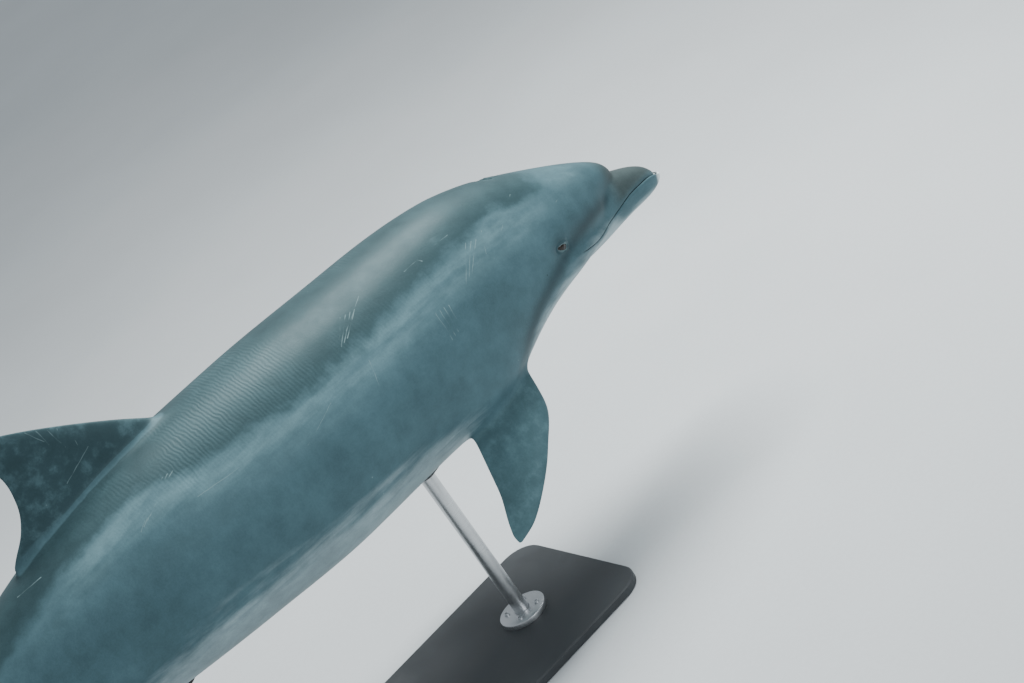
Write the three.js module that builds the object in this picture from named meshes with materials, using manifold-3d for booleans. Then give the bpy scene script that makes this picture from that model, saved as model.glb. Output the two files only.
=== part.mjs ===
// A bottlenose dolphin as a still, life-size display model on a plain two-rod stand.
// Millimetres. +X points to the snout, +Y to the animal's left, +Z up. The origin lies on the floor,
// below the middle of the whole model. The animal is drawn straight along its axis first, with stations
// given as shares of its length behind the tip of the upper jaw, and is then bent into its pose.
import * as THREE from 'three';
import { mergeVertices } from 'three/addons/utils/BufferGeometryUtils.js';
import Module from 'manifold-3d';

const wasm = await Module();
wasm.setup();
const radians = THREE.MathUtils.degToRad;

// ---- Driving dimensions ----
const LENGTH = 2600;              // tip of the upper jaw to the notch of the flukes
const AXIS_HEIGHT = 655;          // body axis above the floor
const GAP = 0.3;                  // clearance between neighbouring pieces
const AROUND = 36;                // facets round the body
const SNOUT = -0.004;             // the lower jaw reaches this share of the length past the upper one
const UPPER_JAW_SETBACK = 0.0055; // share of the length
const SETBACK_ENDS = 0.045;       // station where both jaws share one outline again
const MELON_START = 0.040;
const BEAK_END = 0.120;           // inside the head, the beak's own outline ends here
const MELON_CREASE = 0.0018;      // how softly the melon meets the beak
const CREASE_TOP = 0.0415;        // station of the crease on the midline ...
const CREASE_LOW = 0.068;         // ... and down at the mouth
const CREASE_SWEEP = 0.025;       // how much further back the melon starts at the sides
const BROW_LIFT = 0.0020;         // ridge above the eye
const CHEEK_HOLLOW = 0.0026;      // below that ridge
const SHOULDER = 0.009;           // swelling where the flippers come out
const MOUTH_CORNER = 0.122;
const NECK_BEND = radians(-11.9); // head tipped down against the trunk
const NECK_BEND_FROM = 0.10;
const NECK_BEND_TO = 0.29;
const TAIL_DROP = -0.02;          // drop of the notch below the axis, share of the length
const TAIL_DROP_FROM = 0.5;
const EYE_STATION = 0.136;
const EYE_LEVEL = 0.0015;
const EYE_RADIUS = 18.5;
const EYE_STANDS_OUT = 3;
const BLOWHOLE_STATION = 0.150;
const BLOWHOLE_RADIUS = 17;
const BLOWHOLE_WIDTH = 4;
const BLOWHOLE_DEPTH = 9;
const CUTS = { head: 0.178, neck: 0.262, chest: 0.43, loin: 0.62, stock: 0.80, end: 0.990 };

const FIN_STATION = 0.459;        // dorsal fin: start of its front edge on the back
const FIN_HEIGHT = 0.101;
const FIN_THICKNESS = 0.105;      // share of the chord, for this and the other fins
const FLIPPER_LENGTH = 0.150;
const FLIPPER_STATION = 0.209;
const FLIPPER_ROOT_ANGLE = radians(221.5);
const FLIPPER_SWEEP = radians(23);
const FLIPPER_DROOP = radians(55.5);
const LEFT_FLIPPER_RAISE = radians(6);   // the left one is held this much higher than the right one
const FLIPPER_TWIST = radians(9);
const FLIPPER_THICKNESS = 0.20;
const FLIPPER_DEPTH = 0.81;       // its root starts at this share of the way out to the skin
const FLUKE_HALF_SPAN = 0.127;
const FLUKE_THICKNESS = 0.115;
const FIN_POINTS = 16;            // points round a fin's section
const FIN_STEPS = 12;             // sections along a fin
const TRAILING_HALF = 0.9;        // half thickness of a fin's rear edge

const BASE_LENGTH = 1040;
const BASE_WIDTH = 460;
const BASE_CORNER = 60;
const BASE_THICKNESS = 20;
const BASE_BEVEL = 3;
const BASE_STATION = 0.455;       // middle of the base, below this station
const ROD_STATIONS = { front: 0.325, rear: 0.585 };
const ROD_RADIUS = 17;
const FLANGE_RADIUS = 55;
const FLANGE_THICKNESS = 12;
const CUP_RADIUS = 48;
const CUP_STEM = 20;              // height of the cup's straight foot
const ROUND_FACETS = 24;

// ---- Smooth profiles, all in shares of the length ----

// Monotone cubic through the given points.
function curve(points) {
  const slopes = points.slice(1).map(([x, y], i) => (y - points[i][1]) / (x - points[i][0]));
  const tangents = points.map((point, i) => {
    const before = slopes[Math.max(i - 1, 0)];
    const after = slopes[Math.min(i, slopes.length - 1)];
    return before * after <= 0 ? 0 : (2 * before * after) / (before + after);
  });
  return (x) => {
    const clamped = THREE.MathUtils.clamp(x, points[0][0], points.at(-1)[0]);
    let i = 0;
    while (i < points.length - 2 && clamped > points[i + 1][0]) i += 1;
    const step = points[i + 1][0] - points[i][0];
    const t = (clamped - points[i][0]) / step;
    return (1 + 2 * t) * (1 - t) ** 2 * points[i][1] + t * (1 - t) ** 2 * step * tangents[i]
      + t * t * (3 - 2 * t) * points[i + 1][1] + t * t * (t - 1) * step * tangents[i + 1];
  };
}

const back = curve([[0.040, 0.017], [0.0415, 0.0225], [0.044, 0.0275], [0.05, 0.034], [0.06, 0.0395],
  [0.08, 0.0475], [0.11, 0.0575], [0.137, 0.066], [0.17, 0.0755], [0.20, 0.0815], [0.25, 0.086],
  [0.30, 0.0885], [0.40, 0.0935], [0.50, 0.0945], [0.60, 0.083], [0.70, 0.061], [0.80, 0.0435],
  [0.90, 0.028], [0.95, 0.0185], [1, 0.004]]);
const belly = curve([[0.040, -0.016], [0.08, -0.0245], [0.11, -0.032], [0.137, -0.041], [0.20, -0.065],
  [0.25, -0.079], [0.30, -0.085], [0.40, -0.086], [0.50, -0.0785], [0.60, -0.067], [0.70, -0.051],
  [0.80, -0.0345], [0.90, -0.0215], [0.95, -0.0145], [1, -0.004]]);
const halfWidth = curve([[0.040, 0.004], [0.0415, 0.013], [0.044, 0.019], [0.05, 0.0245], [0.06, 0.030],
  [0.08, 0.036], [0.11, 0.0425], [0.137, 0.048], [0.20, 0.062], [0.25, 0.072], [0.30, 0.078],
  [0.40, 0.0815], [0.50, 0.077], [0.60, 0.065], [0.70, 0.044], [0.80, 0.0255], [0.90, 0.0135],
  [0.95, 0.0105], [1, 0.004]]);
const middle = curve([[0, 0], [0.05, -0.006], [0.10, -0.011], [0.14, -0.012], [0.20, -0.010],
  [0.30, -0.006], [0.50, 0], [0.70, 0.002], [1, 0]]);
const squareness = curve([[0, 2.3], [0.10, 2.25], [0.20, 2.1], [0.40, 2.05], [0.60, 1.95], [0.80, 1.75],
  [0.90, 1.65], [1, 1.8]]);
const beakTop = curve([[-0.004, 0], [-0.0034, 0.0025], [-0.001, 0.006], [0.005, 0.0110], [0.015, 0.0152],
  [0.04, 0.0210], [0.08, 0.029], [0.12, 0.036]]);
const beakLow = curve([[-0.004, 0], [-0.0034, -0.0034], [-0.001, -0.0075], [0.005, -0.011],
  [0.015, -0.0142], [0.04, -0.019], [0.08, -0.0275], [0.12, -0.035]]);
const beakHalfWidth = curve([[-0.004, 0], [-0.0034, 0.0038], [-0.001, 0.0078], [0.005, 0.0115],
  [0.015, 0.0148], [0.04, 0.019], [0.08, 0.028], [0.12, 0.036]]);
const mouthLevel = curve([[-0.02, 0], [-0.004, 0], [0.013, 0.0035], [0.026, 0.0025], [0.04, 0.0005],
  [0.06, -0.005], [0.08, -0.0105], [0.10, -0.014], [0.112, -0.0138], [MOUTH_CORNER, -0.012]]);

// Front and rear edges of the fins: share of the span, then distance behind the start of the root.
const finFront = curve([[0, 0], [0.25, 0.031], [0.5, 0.066], [0.75, 0.105], [0.92, 0.137], [1, 0.158]]);
const finRear = curve([[0, 0.163], [0.12, 0.145], [0.3, 0.133], [0.5, 0.129], [0.7, 0.134],
  [0.9, 0.150], [1, 0.163]]);
const flipperFront = curve([[0, 0.010], [0.15, 0.0025], [0.35, 0], [0.6, 0.0165], [0.8, 0.036],
  [0.93, 0.052], [1, 0.065]]);
const flipperRear = curve([[0, 0.050], [0.15, 0.062], [0.3, 0.069], [0.45, 0.067], [0.7, 0.067],
  [0.9, 0.071], [1, 0.072]]);
const flukeFront = curve([[0, 0.908], [0.1, 0.918], [0.25, 0.932], [0.45, 0.953], [0.65, 0.978],
  [0.85, 1.007], [0.96, 1.026], [1, 1.036]]);
const flukeRear = curve([[0, 0.9985], [0.04, 1.006], [0.12, 1.013], [0.28, 1.017], [0.5, 1.0155],
  [0.7, 1.018], [0.88, 1.029], [1, 1.041]]);

// ---- The body's surface ----

// Distance from a section's middle to its outline at an angle, for a rounded box of four quarters.
function quarterRound(angle, half, top, low, power) {
  const height = Math.sin(angle) >= 0 ? top : -low;
  const across = Math.abs(Math.cos(angle)) / Math.max(half, 1e-6);
  const up = Math.abs(Math.sin(angle)) / Math.max(height, 1e-6);
  return (across ** power + up ** power) ** (-1 / power);
}

const smooth = THREE.MathUtils.smoothstep;
const hump = (x, centre, width) => Math.exp(-(((x - centre) / width) ** 2));

// What stands out of the plain sections: brow ridge, hollow of the cheek and shoulder.
function relief(s, angle) {
  const rise = Math.asin(Math.sin(angle));
  const face = smooth(s, 0.055, 0.078) * (1 - smooth(s, 0.128, 0.155));
  return face * (BROW_LIFT * hump(rise, radians(36), radians(16))
    - CHEEK_HOLLOW * hump(rise, radians(12), radians(11)))
    + SHOULDER * hump(s, 0.245, 0.05) * hump(rise, radians(-42), radians(22));
}

// Outline of the body at a station: the beak runs on into the head, whose melon rises over it
// and starts further back at the sides.
function bodyRadius(s, angle) {
  const mid = middle(s);
  const power = squareness(s);
  const sweep = CREASE_SWEEP * (1 - smooth(Math.asin(Math.sin(angle)), radians(24), radians(80)));
  const at = s - sweep * (1 - smooth(s, 0.06, BEAK_END + 0.005));
  const head = at > MELON_START
    ? quarterRound(angle, halfWidth(at), back(at) - mid, belly(at) - mid, power) + relief(s, angle) : 0;
  if (s >= BEAK_END + 0.005) return head;
  const beak = quarterRound(angle, beakHalfWidth(s), beakTop(s) - mid, beakLow(s) - mid, power);
  const fade = THREE.MathUtils.clamp((BEAK_END - s) / 0.03, 0, 1);
  const softness = MELON_CREASE * fade * Math.min(head / 0.01, 1);
  return 0.5 * (beak + head + Math.hypot(beak - head, softness));
}

// Stations of the rings, denser towards the snout: [from, to, steps].
const STATION_RUNS = [[SNOUT, 0.005, 4], [0.005, 0.041, 5], [0.041, 0.056, 4], [0.056, 0.14, 6],
  [0.14, 0.30, 6], [0.30, 0.90, 19], [0.90, 1, 5]];
const CUT_STATIONS = Object.values(CUTS);
const STATIONS = STATION_RUNS.flatMap(([from, to, steps]) =>
  Array.from({ length: steps }, (_, i) => from + ((to - from) * i) / steps))
  .filter((s) => CUT_STATIONS.every((at) => Math.abs(s - at) > 0.008))
  .concat(CUT_STATIONS).sort((a, b) => a - b);

// Points of one ring of the straight body. The upper jaw is set back inside the lower one.
function bodyRing(s, grow, setback) {
  const fade = THREE.MathUtils.clamp((SETBACK_ENDS - s) / SETBACK_ENDS, 0, 1);
  const drawn = s - setback * fade;
  return Array.from({ length: AROUND }, (_, i) => {
    const angle = (i / AROUND) * 2 * Math.PI;
    const reach = Math.max(bodyRadius(drawn, angle) * LENGTH, 0.3) + grow;
    const level = middle(s) * LENGTH + reach * Math.sin(angle);
    return new THREE.Vector3(-s * LENGTH, reach * Math.cos(angle), level);
  });
}

// Closed solid between two stations.
function bodyLoft(from, to, { grow = 0, setback = 0 } = {}) {
  const between = STATIONS.filter((s) => s > from + 0.0015 && s < to - 0.0015);
  return closedLoft([from, ...between, to].map((s) => bodyRing(s, grow, setback)));
}

// Joins rings of equal count side by side and closes both ends with a fan.
function closedLoft(rings) {
  const count = rings[0].length;
  const positions = rings.flat();
  const triangles = [];
  for (let ring = 0; ring < rings.length - 1; ring += 1) {
    for (let i = 0; i < count; i += 1) {
      const a = ring * count + i;
      const b = ring * count + ((i + 1) % count);
      triangles.push(a, a + count, b, b, a + count, b + count);
    }
  }
  for (const [start, flip] of [[0, false], [(rings.length - 1) * count, true]]) {
    const ring = positions.slice(start, start + count);
    const centre = ring.reduce((sum, p) => sum.add(p), new THREE.Vector3()).divideScalar(count);
    const hub = positions.push(centre) - 1;
    for (let i = 0; i < count; i += 1) {
      const edge = [start + i, start + ((i + 1) % count)];
      triangles.push(hub, ...(flip ? edge.reverse() : edge));
    }
  }
  const geometry = new THREE.BufferGeometry().setFromPoints(positions);
  geometry.setIndex(triangles);
  return facingOut(geometry);
}

function facingOut(geometry) {
  const corner = [0, 1, 2].map(() => new THREE.Vector3());
  const { index, attributes: { position } } = geometry;
  let volume = 0;
  for (let i = 0; i < index.count; i += 3) {
    corner.forEach((v, k) => v.fromBufferAttribute(position, index.getX(i + k)));
    volume += corner[0].dot(corner[1].cross(corner[2]));
  }
  if (volume < 0) {
    geometry.setIndex(Array.from(index.array).reverse());
  }
  return geometry;
}

// ---- Cutting and joining ----

function toSolid(geometry) {
  const bare = geometry.clone();
  bare.deleteAttribute('normal');
  bare.deleteAttribute('uv');
  const merged = mergeVertices(bare, 1e-3);
  return new wasm.Manifold(new wasm.Mesh({
    numProp: 3,
    vertProperties: new Float32Array(merged.attributes.position.array),
    triVerts: new Uint32Array(merged.index.array),
  }));
}

function toGeometry(solid) {
  const mesh = solid.getMesh();
  const geometry = new THREE.BufferGeometry();
  geometry.setAttribute('position', new THREE.BufferAttribute(new Float32Array(mesh.vertProperties), 3));
  geometry.setIndex(Array.from(mesh.triVerts));
  return geometry;
}

const cut = (geometry, ...tools) =>
  toGeometry(tools.reduce((solid, tool) => solid.subtract(toSolid(tool)), toSolid(geometry)));
const common = (geometry, tool) => toGeometry(toSolid(geometry).intersect(toSolid(tool)));

// A side outline of [station, level] pairs, run straight across the whole body.
function acrossBody(outline) {
  const corners = outline.map(([s, level]) => new THREE.Vector2(-s * LENGTH, level * LENGTH));
  const shape = new THREE.Shape(corners);
  const width = 0.3 * LENGTH;
  const geometry = new THREE.ExtrudeGeometry(shape, { depth: width, bevelEnabled: false });
  return geometry.rotateX(Math.PI / 2).translate(0, width / 2, 0);
}

// ---- The pose ----

const bendShare = (s) => THREE.MathUtils.smoothstep(NECK_BEND_TO - s, 0, NECK_BEND_TO - NECK_BEND_FROM);

// Place of the bent axis at a station, found by walking forwards from the start of the bend.
function axisAt(s) {
  const steps = 60;
  const step = (s - NECK_BEND_TO) / steps;
  const point = new THREE.Vector2(-NECK_BEND_TO, 0);
  for (let i = 0; i < steps; i += 1) {
    const pitch = NECK_BEND * bendShare(NECK_BEND_TO + (i + 0.5) * step);
    point.x -= step * Math.cos(pitch);
    point.y -= step * Math.sin(pitch);
  }
  return point;
}

// Moves every point of a straight piece to its place in the pose.
function posed(geometry) {
  const bent = geometry.clone();
  const { position } = bent.attributes;
  for (let i = 0; i < position.count; i += 1) {
    const s = -position.getX(i) / LENGTH;
    const level = position.getZ(i);
    const pitch = NECK_BEND * bendShare(s);
    const axis = axisAt(s).multiplyScalar(LENGTH);
    const drop = TAIL_DROP * LENGTH * (Math.max(s - TAIL_DROP_FROM, 0) / (1 - TAIL_DROP_FROM)) ** 2;
    const x = axis.x - level * Math.sin(pitch);
    position.setXYZ(i, x, position.getY(i), AXIS_HEIGHT + axis.y + drop + level * Math.cos(pitch));
  }
  return bent;
}

// ---- Head ----

// Everything below the mouth line and in front of its corner.
function jawZone(grow = 0) {
  const lift = grow / LENGTH;
  const steps = 14;
  const line = Array.from({ length: steps + 1 }, (_, i) => {
    const s = -0.02 + ((MOUTH_CORNER + 0.02) * i) / steps;
    return [s + (i === steps ? lift : 0), mouthLevel(s) + lift];
  });
  return acrossBody([...line, [MOUTH_CORNER + lift, -0.1], [-0.02, -0.1]]);
}

// Everything above the mouth and in front of the crease.
function beakZone(grow = 0) {
  const shift = grow / LENGTH;
  return acrossBody([[-0.02, 0.1], [CREASE_TOP + shift, 0.1], [CREASE_TOP + shift, 0.022],
    [CREASE_LOW + shift, -0.025], [-0.02, -0.025]]);
}

// Sideways distance of the head's surface from the midline at the eye.
function eyeReach() {
  const level = EYE_LEVEL - middle(EYE_STATION);
  let angle = 0;
  for (let i = 0; i < 20; i += 1) {
    angle = Math.asin(level / bodyRadius(EYE_STATION, angle));
  }
  return bodyRadius(EYE_STATION, angle) * Math.cos(angle) * LENGTH;
}

function eyeball(side, grow = 0) {
  const reach = eyeReach() + EYE_STANDS_OUT - EYE_RADIUS;
  return new THREE.SphereGeometry(EYE_RADIUS + grow, 16, 10)
    .translate(-EYE_STATION * LENGTH, side * reach, EYE_LEVEL * LENGTH);
}

// Crescent slit on the crown, its horns pointing forwards.
function blowholeSlit() {
  const half = BLOWHOLE_WIDTH / 2;
  const shape = new THREE.Shape();
  shape.absarc(0, 0, BLOWHOLE_RADIUS + half, radians(110), radians(250), false);
  shape.absarc(0, 0, BLOWHOLE_RADIUS - half, radians(250), radians(110), true);
  const geometry = new THREE.ExtrudeGeometry(shape, { depth: 60, bevelEnabled: false, curveSegments: 8 });
  const level = back(BLOWHOLE_STATION) * LENGTH - BLOWHOLE_DEPTH;
  return geometry.translate(-BLOWHOLE_STATION * LENGTH + BLOWHOLE_RADIUS, 0, level);
}

function makeHead() {
  const upperFront = bodyLoft(SNOUT + UPPER_JAW_SETBACK, 0.10, { setback: UPPER_JAW_SETBACK });
  const lowerFront = bodyLoft(SNOUT, MOUTH_CORNER + 0.01);
  const skull = bodyLoft(0.03, CUTS.head);
  return {
    beak_upper: cut(common(upperFront, beakZone()), jawZone(GAP)),
    lower_jaw: common(lowerFront, jawZone()),
    head: cut(skull, jawZone(GAP), beakZone(GAP), eyeball(1, GAP), eyeball(-1, GAP), blowholeSlit()),
  };
}

// ---- Fins ----

// Closed outline of a fin's section from its front to its rear edge, thickest at a third of the chord.
function finSection(front, rear, normal, thickness) {
  const chord = rear.clone().sub(front);
  return Array.from({ length: FIN_POINTS }, (_, i) => {
    const turn = ((i + 0.5) / FIN_POINTS) * 2 * Math.PI;
    const u = (1 - Math.cos(turn)) / 2;
    const curved = 0.2969 * Math.sqrt(u)
      - 0.126 * u - 0.3516 * u ** 2 + 0.2843 * u ** 3 - 0.1036 * u ** 4;
    const half = Math.max(5 * curved * thickness * chord.length(), TRAILING_HALF);
    const side = turn < Math.PI ? half : -half;
    return front.clone().addScaledVector(chord, u).addScaledVector(normal, side);
  });
}

// Shares of the span for the sections, from below the root to the tip, closer together at the tip.
function spanSteps(root) {
  return Array.from({ length: FIN_STEPS + 1 }, (_, i) => {
    const t = i / FIN_STEPS;
    return root + (1 - root) * Math.sin((t * Math.PI) / 2) ** 0.9;
  });
}

function dorsalFin() {
  const base = 0.087;
  const rings = spanSteps(-0.32).map((v) => {
    const level = (base + FIN_HEIGHT * v) * LENGTH;
    const along = Math.max(v, 0);
    const front = new THREE.Vector3(-(FIN_STATION + finFront(along)) * LENGTH, 0, level);
    const rear = new THREE.Vector3(-(FIN_STATION + finRear(along)) * LENGTH, 0, level);
    return finSection(front, rear, new THREE.Vector3(0, 1, 0), FIN_THICKNESS);
  });
  return cut(closedLoft(rings), bodyLoft(0.38, 0.72, { grow: GAP }));
}

// Side -1 is the right flipper, 1 the left.
function flipper(side) {
  const droop = side > 0 ? FLIPPER_DROOP - LEFT_FLIPPER_RAISE : FLIPPER_DROOP;
  const span = new THREE.Vector3(-Math.sin(FLIPPER_SWEEP),
    side * Math.cos(FLIPPER_SWEEP) * Math.cos(droop),
    -Math.cos(FLIPPER_SWEEP) * Math.sin(droop));
  const flat = new THREE.Vector3(-1, 0, 0);
  flat.addScaledVector(span, -flat.dot(span)).normalize();
  const chord = flat.applyAxisAngle(span, -side * FLIPPER_TWIST);
  const normal = new THREE.Vector3().crossVectors(span, chord);
  const reach = bodyRadius(FLIPPER_STATION, FLIPPER_ROOT_ANGLE) * FLIPPER_DEPTH;
  const root = new THREE.Vector3(-FLIPPER_STATION, -side * reach * Math.cos(FLIPPER_ROOT_ANGLE),
    middle(FLIPPER_STATION) + reach * Math.sin(FLIPPER_ROOT_ANGLE)).multiplyScalar(LENGTH);
  const rings = spanSteps(-0.10).map((v) => {
    const along = Math.max(v, 0);
    const start = root.clone().addScaledVector(span, v * FLIPPER_LENGTH * LENGTH);
    const front = start.clone().addScaledVector(chord, flipperFront(along) * LENGTH);
    const rear = start.clone().addScaledVector(chord, flipperRear(along) * LENGTH);
    return finSection(front, rear, normal, FLIPPER_THICKNESS * (1 - 0.25 * along));
  });
  return cut(closedLoft(rings), bodyLoft(0.12, 0.36, { grow: GAP }));
}

function fluke(side) {
  const rings = spanSteps(0).map((v) => {
    const out = side * Math.max(v * FLUKE_HALF_SPAN * LENGTH, GAP / 2);
    const front = new THREE.Vector3(-flukeFront(v) * LENGTH, out, 0);
    const rear = new THREE.Vector3(-flukeRear(v) * LENGTH, out, 0);
    return finSection(front, rear, new THREE.Vector3(0, 0, 1), FLUKE_THICKNESS);
  });
  return cut(closedLoft(rings), bodyLoft(0.85, CUTS.end, { grow: GAP }));
}

// ---- Stand ----

function standBase() {
  const [x, y] = [BASE_LENGTH / 2 - BASE_BEVEL, BASE_WIDTH / 2 - BASE_BEVEL];
  const shape = new THREE.Shape();
  for (const [cx, cy, turn] of [[x, y, 0], [-x, y, 90], [-x, -y, 180], [x, -y, 270]]) {
    const centre = [cx - Math.sign(cx) * BASE_CORNER, cy - Math.sign(cy) * BASE_CORNER];
    shape.absarc(...centre, BASE_CORNER, radians(turn), radians(turn + 90), false);
  }
  return new THREE.ExtrudeGeometry(shape, {
    depth: BASE_THICKNESS - 2 * BASE_BEVEL, bevelThickness: BASE_BEVEL, bevelSize: BASE_BEVEL,
    bevelSegments: 1, curveSegments: 4,
  }).translate(-BASE_STATION * LENGTH, 0, BASE_BEVEL);
}

function upright(radius, low, high, station) {
  return new THREE.CylinderGeometry(radius, radius, high - low, ROUND_FACETS)
    .rotateX(Math.PI / 2).translate(-station * LENGTH, 0, (low + high) / 2);
}

// Rod, flange on the base and cup under the belly, for one station.
function support(station, body) {
  const floor = BASE_THICKNESS + GAP;
  const bellyLevel = AXIS_HEIGHT + (belly(station)
    + TAIL_DROP * (Math.max(station - TAIL_DROP_FROM, 0) / (1 - TAIL_DROP_FROM)) ** 2) * LENGTH;
  const rodTop = bellyLevel - CUP_STEM;
  const ring = [[ROD_RADIUS + GAP, 0], [FLANGE_RADIUS, 0], [FLANGE_RADIUS, FLANGE_THICKNESS - 3],
    [FLANGE_RADIUS - 3, FLANGE_THICKNESS], [ROD_RADIUS + GAP, FLANGE_THICKNESS], [ROD_RADIUS + GAP, 0]];
  const flange = new THREE.LatheGeometry(ring.map(([r, z]) => new THREE.Vector2(r, z)), ROUND_FACETS);
  const cupShape = [[0, 0], [ROD_RADIUS + 3, 0], [CUP_RADIUS, CUP_STEM * 0.8],
    [CUP_RADIUS, 2 * CUP_STEM], [0, 2 * CUP_STEM]];
  const cup = new THREE.LatheGeometry(cupShape.map(([r, z]) => new THREE.Vector2(r, z)), ROUND_FACETS);
  return {
    rod: upright(ROD_RADIUS, floor, rodTop - GAP, station),
    flange: flange.rotateX(Math.PI / 2).translate(-station * LENGTH, 0, floor),
    cup: cut(cup.rotateX(Math.PI / 2).translate(-station * LENGTH, 0, rodTop), body),
  };
}

// ---- Assembly ----

const model = new THREE.Group();

function add(name, geometry, color, roughness, metalness = 0) {
  const mesh = new THREE.Mesh(geometry, new THREE.MeshStandardMaterial({ color, roughness, metalness }));
  mesh.name = name;
  model.add(mesh);
}

const SLATE = 0x3f5a66;
const CAPE = 0x2c3f47;
const PALE = 0x8fa6ad;
const skinColours = { beak_upper: CAPE, lower_jaw: PALE, head: SLATE };
for (const [name, geometry] of Object.entries(makeHead())) {
  add(name, posed(geometry), skinColours[name], 0.45);
}
for (const [name, side] of [['eye_right', -1], ['eye_left', 1]]) {
  add(name, posed(eyeball(side)), 0x15110f, 0.1);
}

const trunk = [['neck', CUTS.head, CUTS.neck], ['trunk_front', CUTS.neck, CUTS.chest],
  ['trunk_rear', CUTS.chest, CUTS.loin], ['tail_stock_front', CUTS.loin, CUTS.stock],
  ['tail_stock_rear', CUTS.stock, CUTS.end]];
for (const [name, from, to] of trunk) {
  add(name, posed(bodyLoft(from + GAP / LENGTH, to)), SLATE, 0.45);
}

add('dorsal_fin', posed(dorsalFin()), CAPE, 0.45);
for (const [side, sign] of [['right', -1], ['left', 1]]) {
  add(`flipper_${side}`, posed(flipper(sign)), SLATE, 0.45);
  add(`fluke_${side}`, posed(fluke(sign)), CAPE, 0.45);
}

add('stand_base', standBase(), 0x3a3d40, 0.5, 0.2);
const body = posed(bodyLoft(0.2, 0.75, { grow: GAP }));
for (const [place, station] of Object.entries(ROD_STATIONS)) {
  const { rod, flange, cup } = support(station, body);
  add(`stand_rod_${place}`, rod, 0xb9bdc0, 0.3, 1);
  add(`stand_flange_${place}`, flange, 0xb9bdc0, 0.35, 1);
  add(`stand_cup_${place}`, cup, 0x26282a, 0.6);
}

// The origin goes below the middle of the whole model.
const extent = new THREE.Box3().setFromObject(model);
model.position.x = -(extent.min.x + extent.max.x) / 2;

export default model;
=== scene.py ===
"""A bottlenose dolphin as a still, life-size display model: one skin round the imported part.

Metres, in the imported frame: +X points to the snout, +Y to the animal's left, +Z up. The skin is drawn
straight along the body axis first, with stations given as shares of the length behind the tip of the upper
jaw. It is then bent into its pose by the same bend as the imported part.
"""

import math

import bmesh
import bpy
import numpy as np
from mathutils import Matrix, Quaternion, Vector


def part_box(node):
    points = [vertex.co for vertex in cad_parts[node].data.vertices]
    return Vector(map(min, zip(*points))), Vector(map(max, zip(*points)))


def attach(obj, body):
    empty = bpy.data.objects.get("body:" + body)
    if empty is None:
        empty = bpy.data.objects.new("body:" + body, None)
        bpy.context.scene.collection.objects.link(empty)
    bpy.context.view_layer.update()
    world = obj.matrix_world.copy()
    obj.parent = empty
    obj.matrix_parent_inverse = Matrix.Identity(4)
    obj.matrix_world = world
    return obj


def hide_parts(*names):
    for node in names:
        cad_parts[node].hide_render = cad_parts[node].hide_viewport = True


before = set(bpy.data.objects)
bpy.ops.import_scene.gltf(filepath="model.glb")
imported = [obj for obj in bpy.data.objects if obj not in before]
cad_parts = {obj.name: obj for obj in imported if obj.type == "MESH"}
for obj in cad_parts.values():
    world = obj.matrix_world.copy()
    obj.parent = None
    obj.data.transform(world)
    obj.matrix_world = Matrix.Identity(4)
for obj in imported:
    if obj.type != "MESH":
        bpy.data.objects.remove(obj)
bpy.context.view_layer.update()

# ---- Dimensions shared with the part ----
LENGTH = 2.6
AXIS_HEIGHT = 0.655
SNOUT = -0.004
SETBACK = 0.0055
SETBACK_ENDS = 0.045
MELON_START = 0.040
BEAK_END = 0.120
MELON_CREASE = 0.0018
CREASE_SWEEP = 0.025
BROW_LIFT = 0.0020
CHEEK_HOLLOW = 0.0026
SHOULDER = 0.009
MOUTH_CORNER = 0.122
NECK_BEND = math.radians(-11.9)
NECK_BEND_FROM = 0.10
NECK_BEND_TO = 0.29
TAIL_DROP = -0.02
TAIL_DROP_FROM = 0.5
EYE_STATION = 0.136
EYE_LEVEL = 0.0015
EYE_RADIUS = 0.0185
EYE_STANDS_OUT = 0.003
BLOWHOLE_STATION = 0.150
BLOWHOLE_RADIUS = 0.017
FIN_STATION = 0.459
FIN_HEIGHT = 0.101
FIN_BASE = 0.087
FIN_THICKNESS = 0.105
FLIPPER_LENGTH = 0.150
FLIPPER_STATION = 0.209
FLIPPER_ROOT_ANGLE = math.radians(-41.5)
FLIPPER_SWEEP = math.radians(23)
FLIPPER_DROOP = math.radians(55.5)
LEFT_FLIPPER_RAISE = math.radians(6)
FLIPPER_TWIST = math.radians(9)
FLIPPER_THICKNESS = 0.20
FLIPPER_DEPTH = 0.81
FLUKE_HALF_SPAN = 0.127
FLUKE_THICKNESS = 0.115
TRAILING_HALF = 0.0009
ROD_STATION = 0.325

# ---- Dimensions of the skin's own detail ----
HALF = 60                      # columns from the belly to the back
AROUND = 2 * HALF
MOUTH_COLUMN = HALF // 2
TAIL_END = 0.9925
GROOVE_DEPTH = 0.0034
LIP_WIDTH = 0.0010             # from the bottom of the mouth's groove to its edge
LIP_SWELL = 0.0011
OPENING_HALF = 0.0140          # of the eyelids
OPENING_UP = 0.0066
OPENING_DOWN = 0.0052
OPENING_TILT = math.radians(-8)
LID_THICKNESS = 0.0009
FILLET = 0.016                 # how far the fins' roots flare into the body
TIP_ROUNDING = 0.91            # share of a fin's span from which its tip is rounded
TIP_CLOSING = 0.97             # how far that rounding has closed the tip at its end; 1 would be a point
FLARE_SPAN = 0.02              # what the flare counts as, in shares of a fin's span
LID_FOLD = 0.0015              # height of the fold round the eyelids
LID_CREASE = 0.0011            # depth of the crease round that fold
EYE_HOLE_HALF = 0.0115         # of the hole in the body's grid, along it
BLOWHOLE_HOLE_HALF = 0.0150
BLOWHOLE_DEPTH = 0.0070
BLOWHOLE_LIP = 0.0016
BLOWHOLE_PLUG = 0.0012         # how far the flap inside the crescent stands up
TOOTH_GAP = 0.0042             # between parallel marks, in shares of the length
SCRATCH_SWAY = 6               # how far scratches wander, in millimetres

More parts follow.
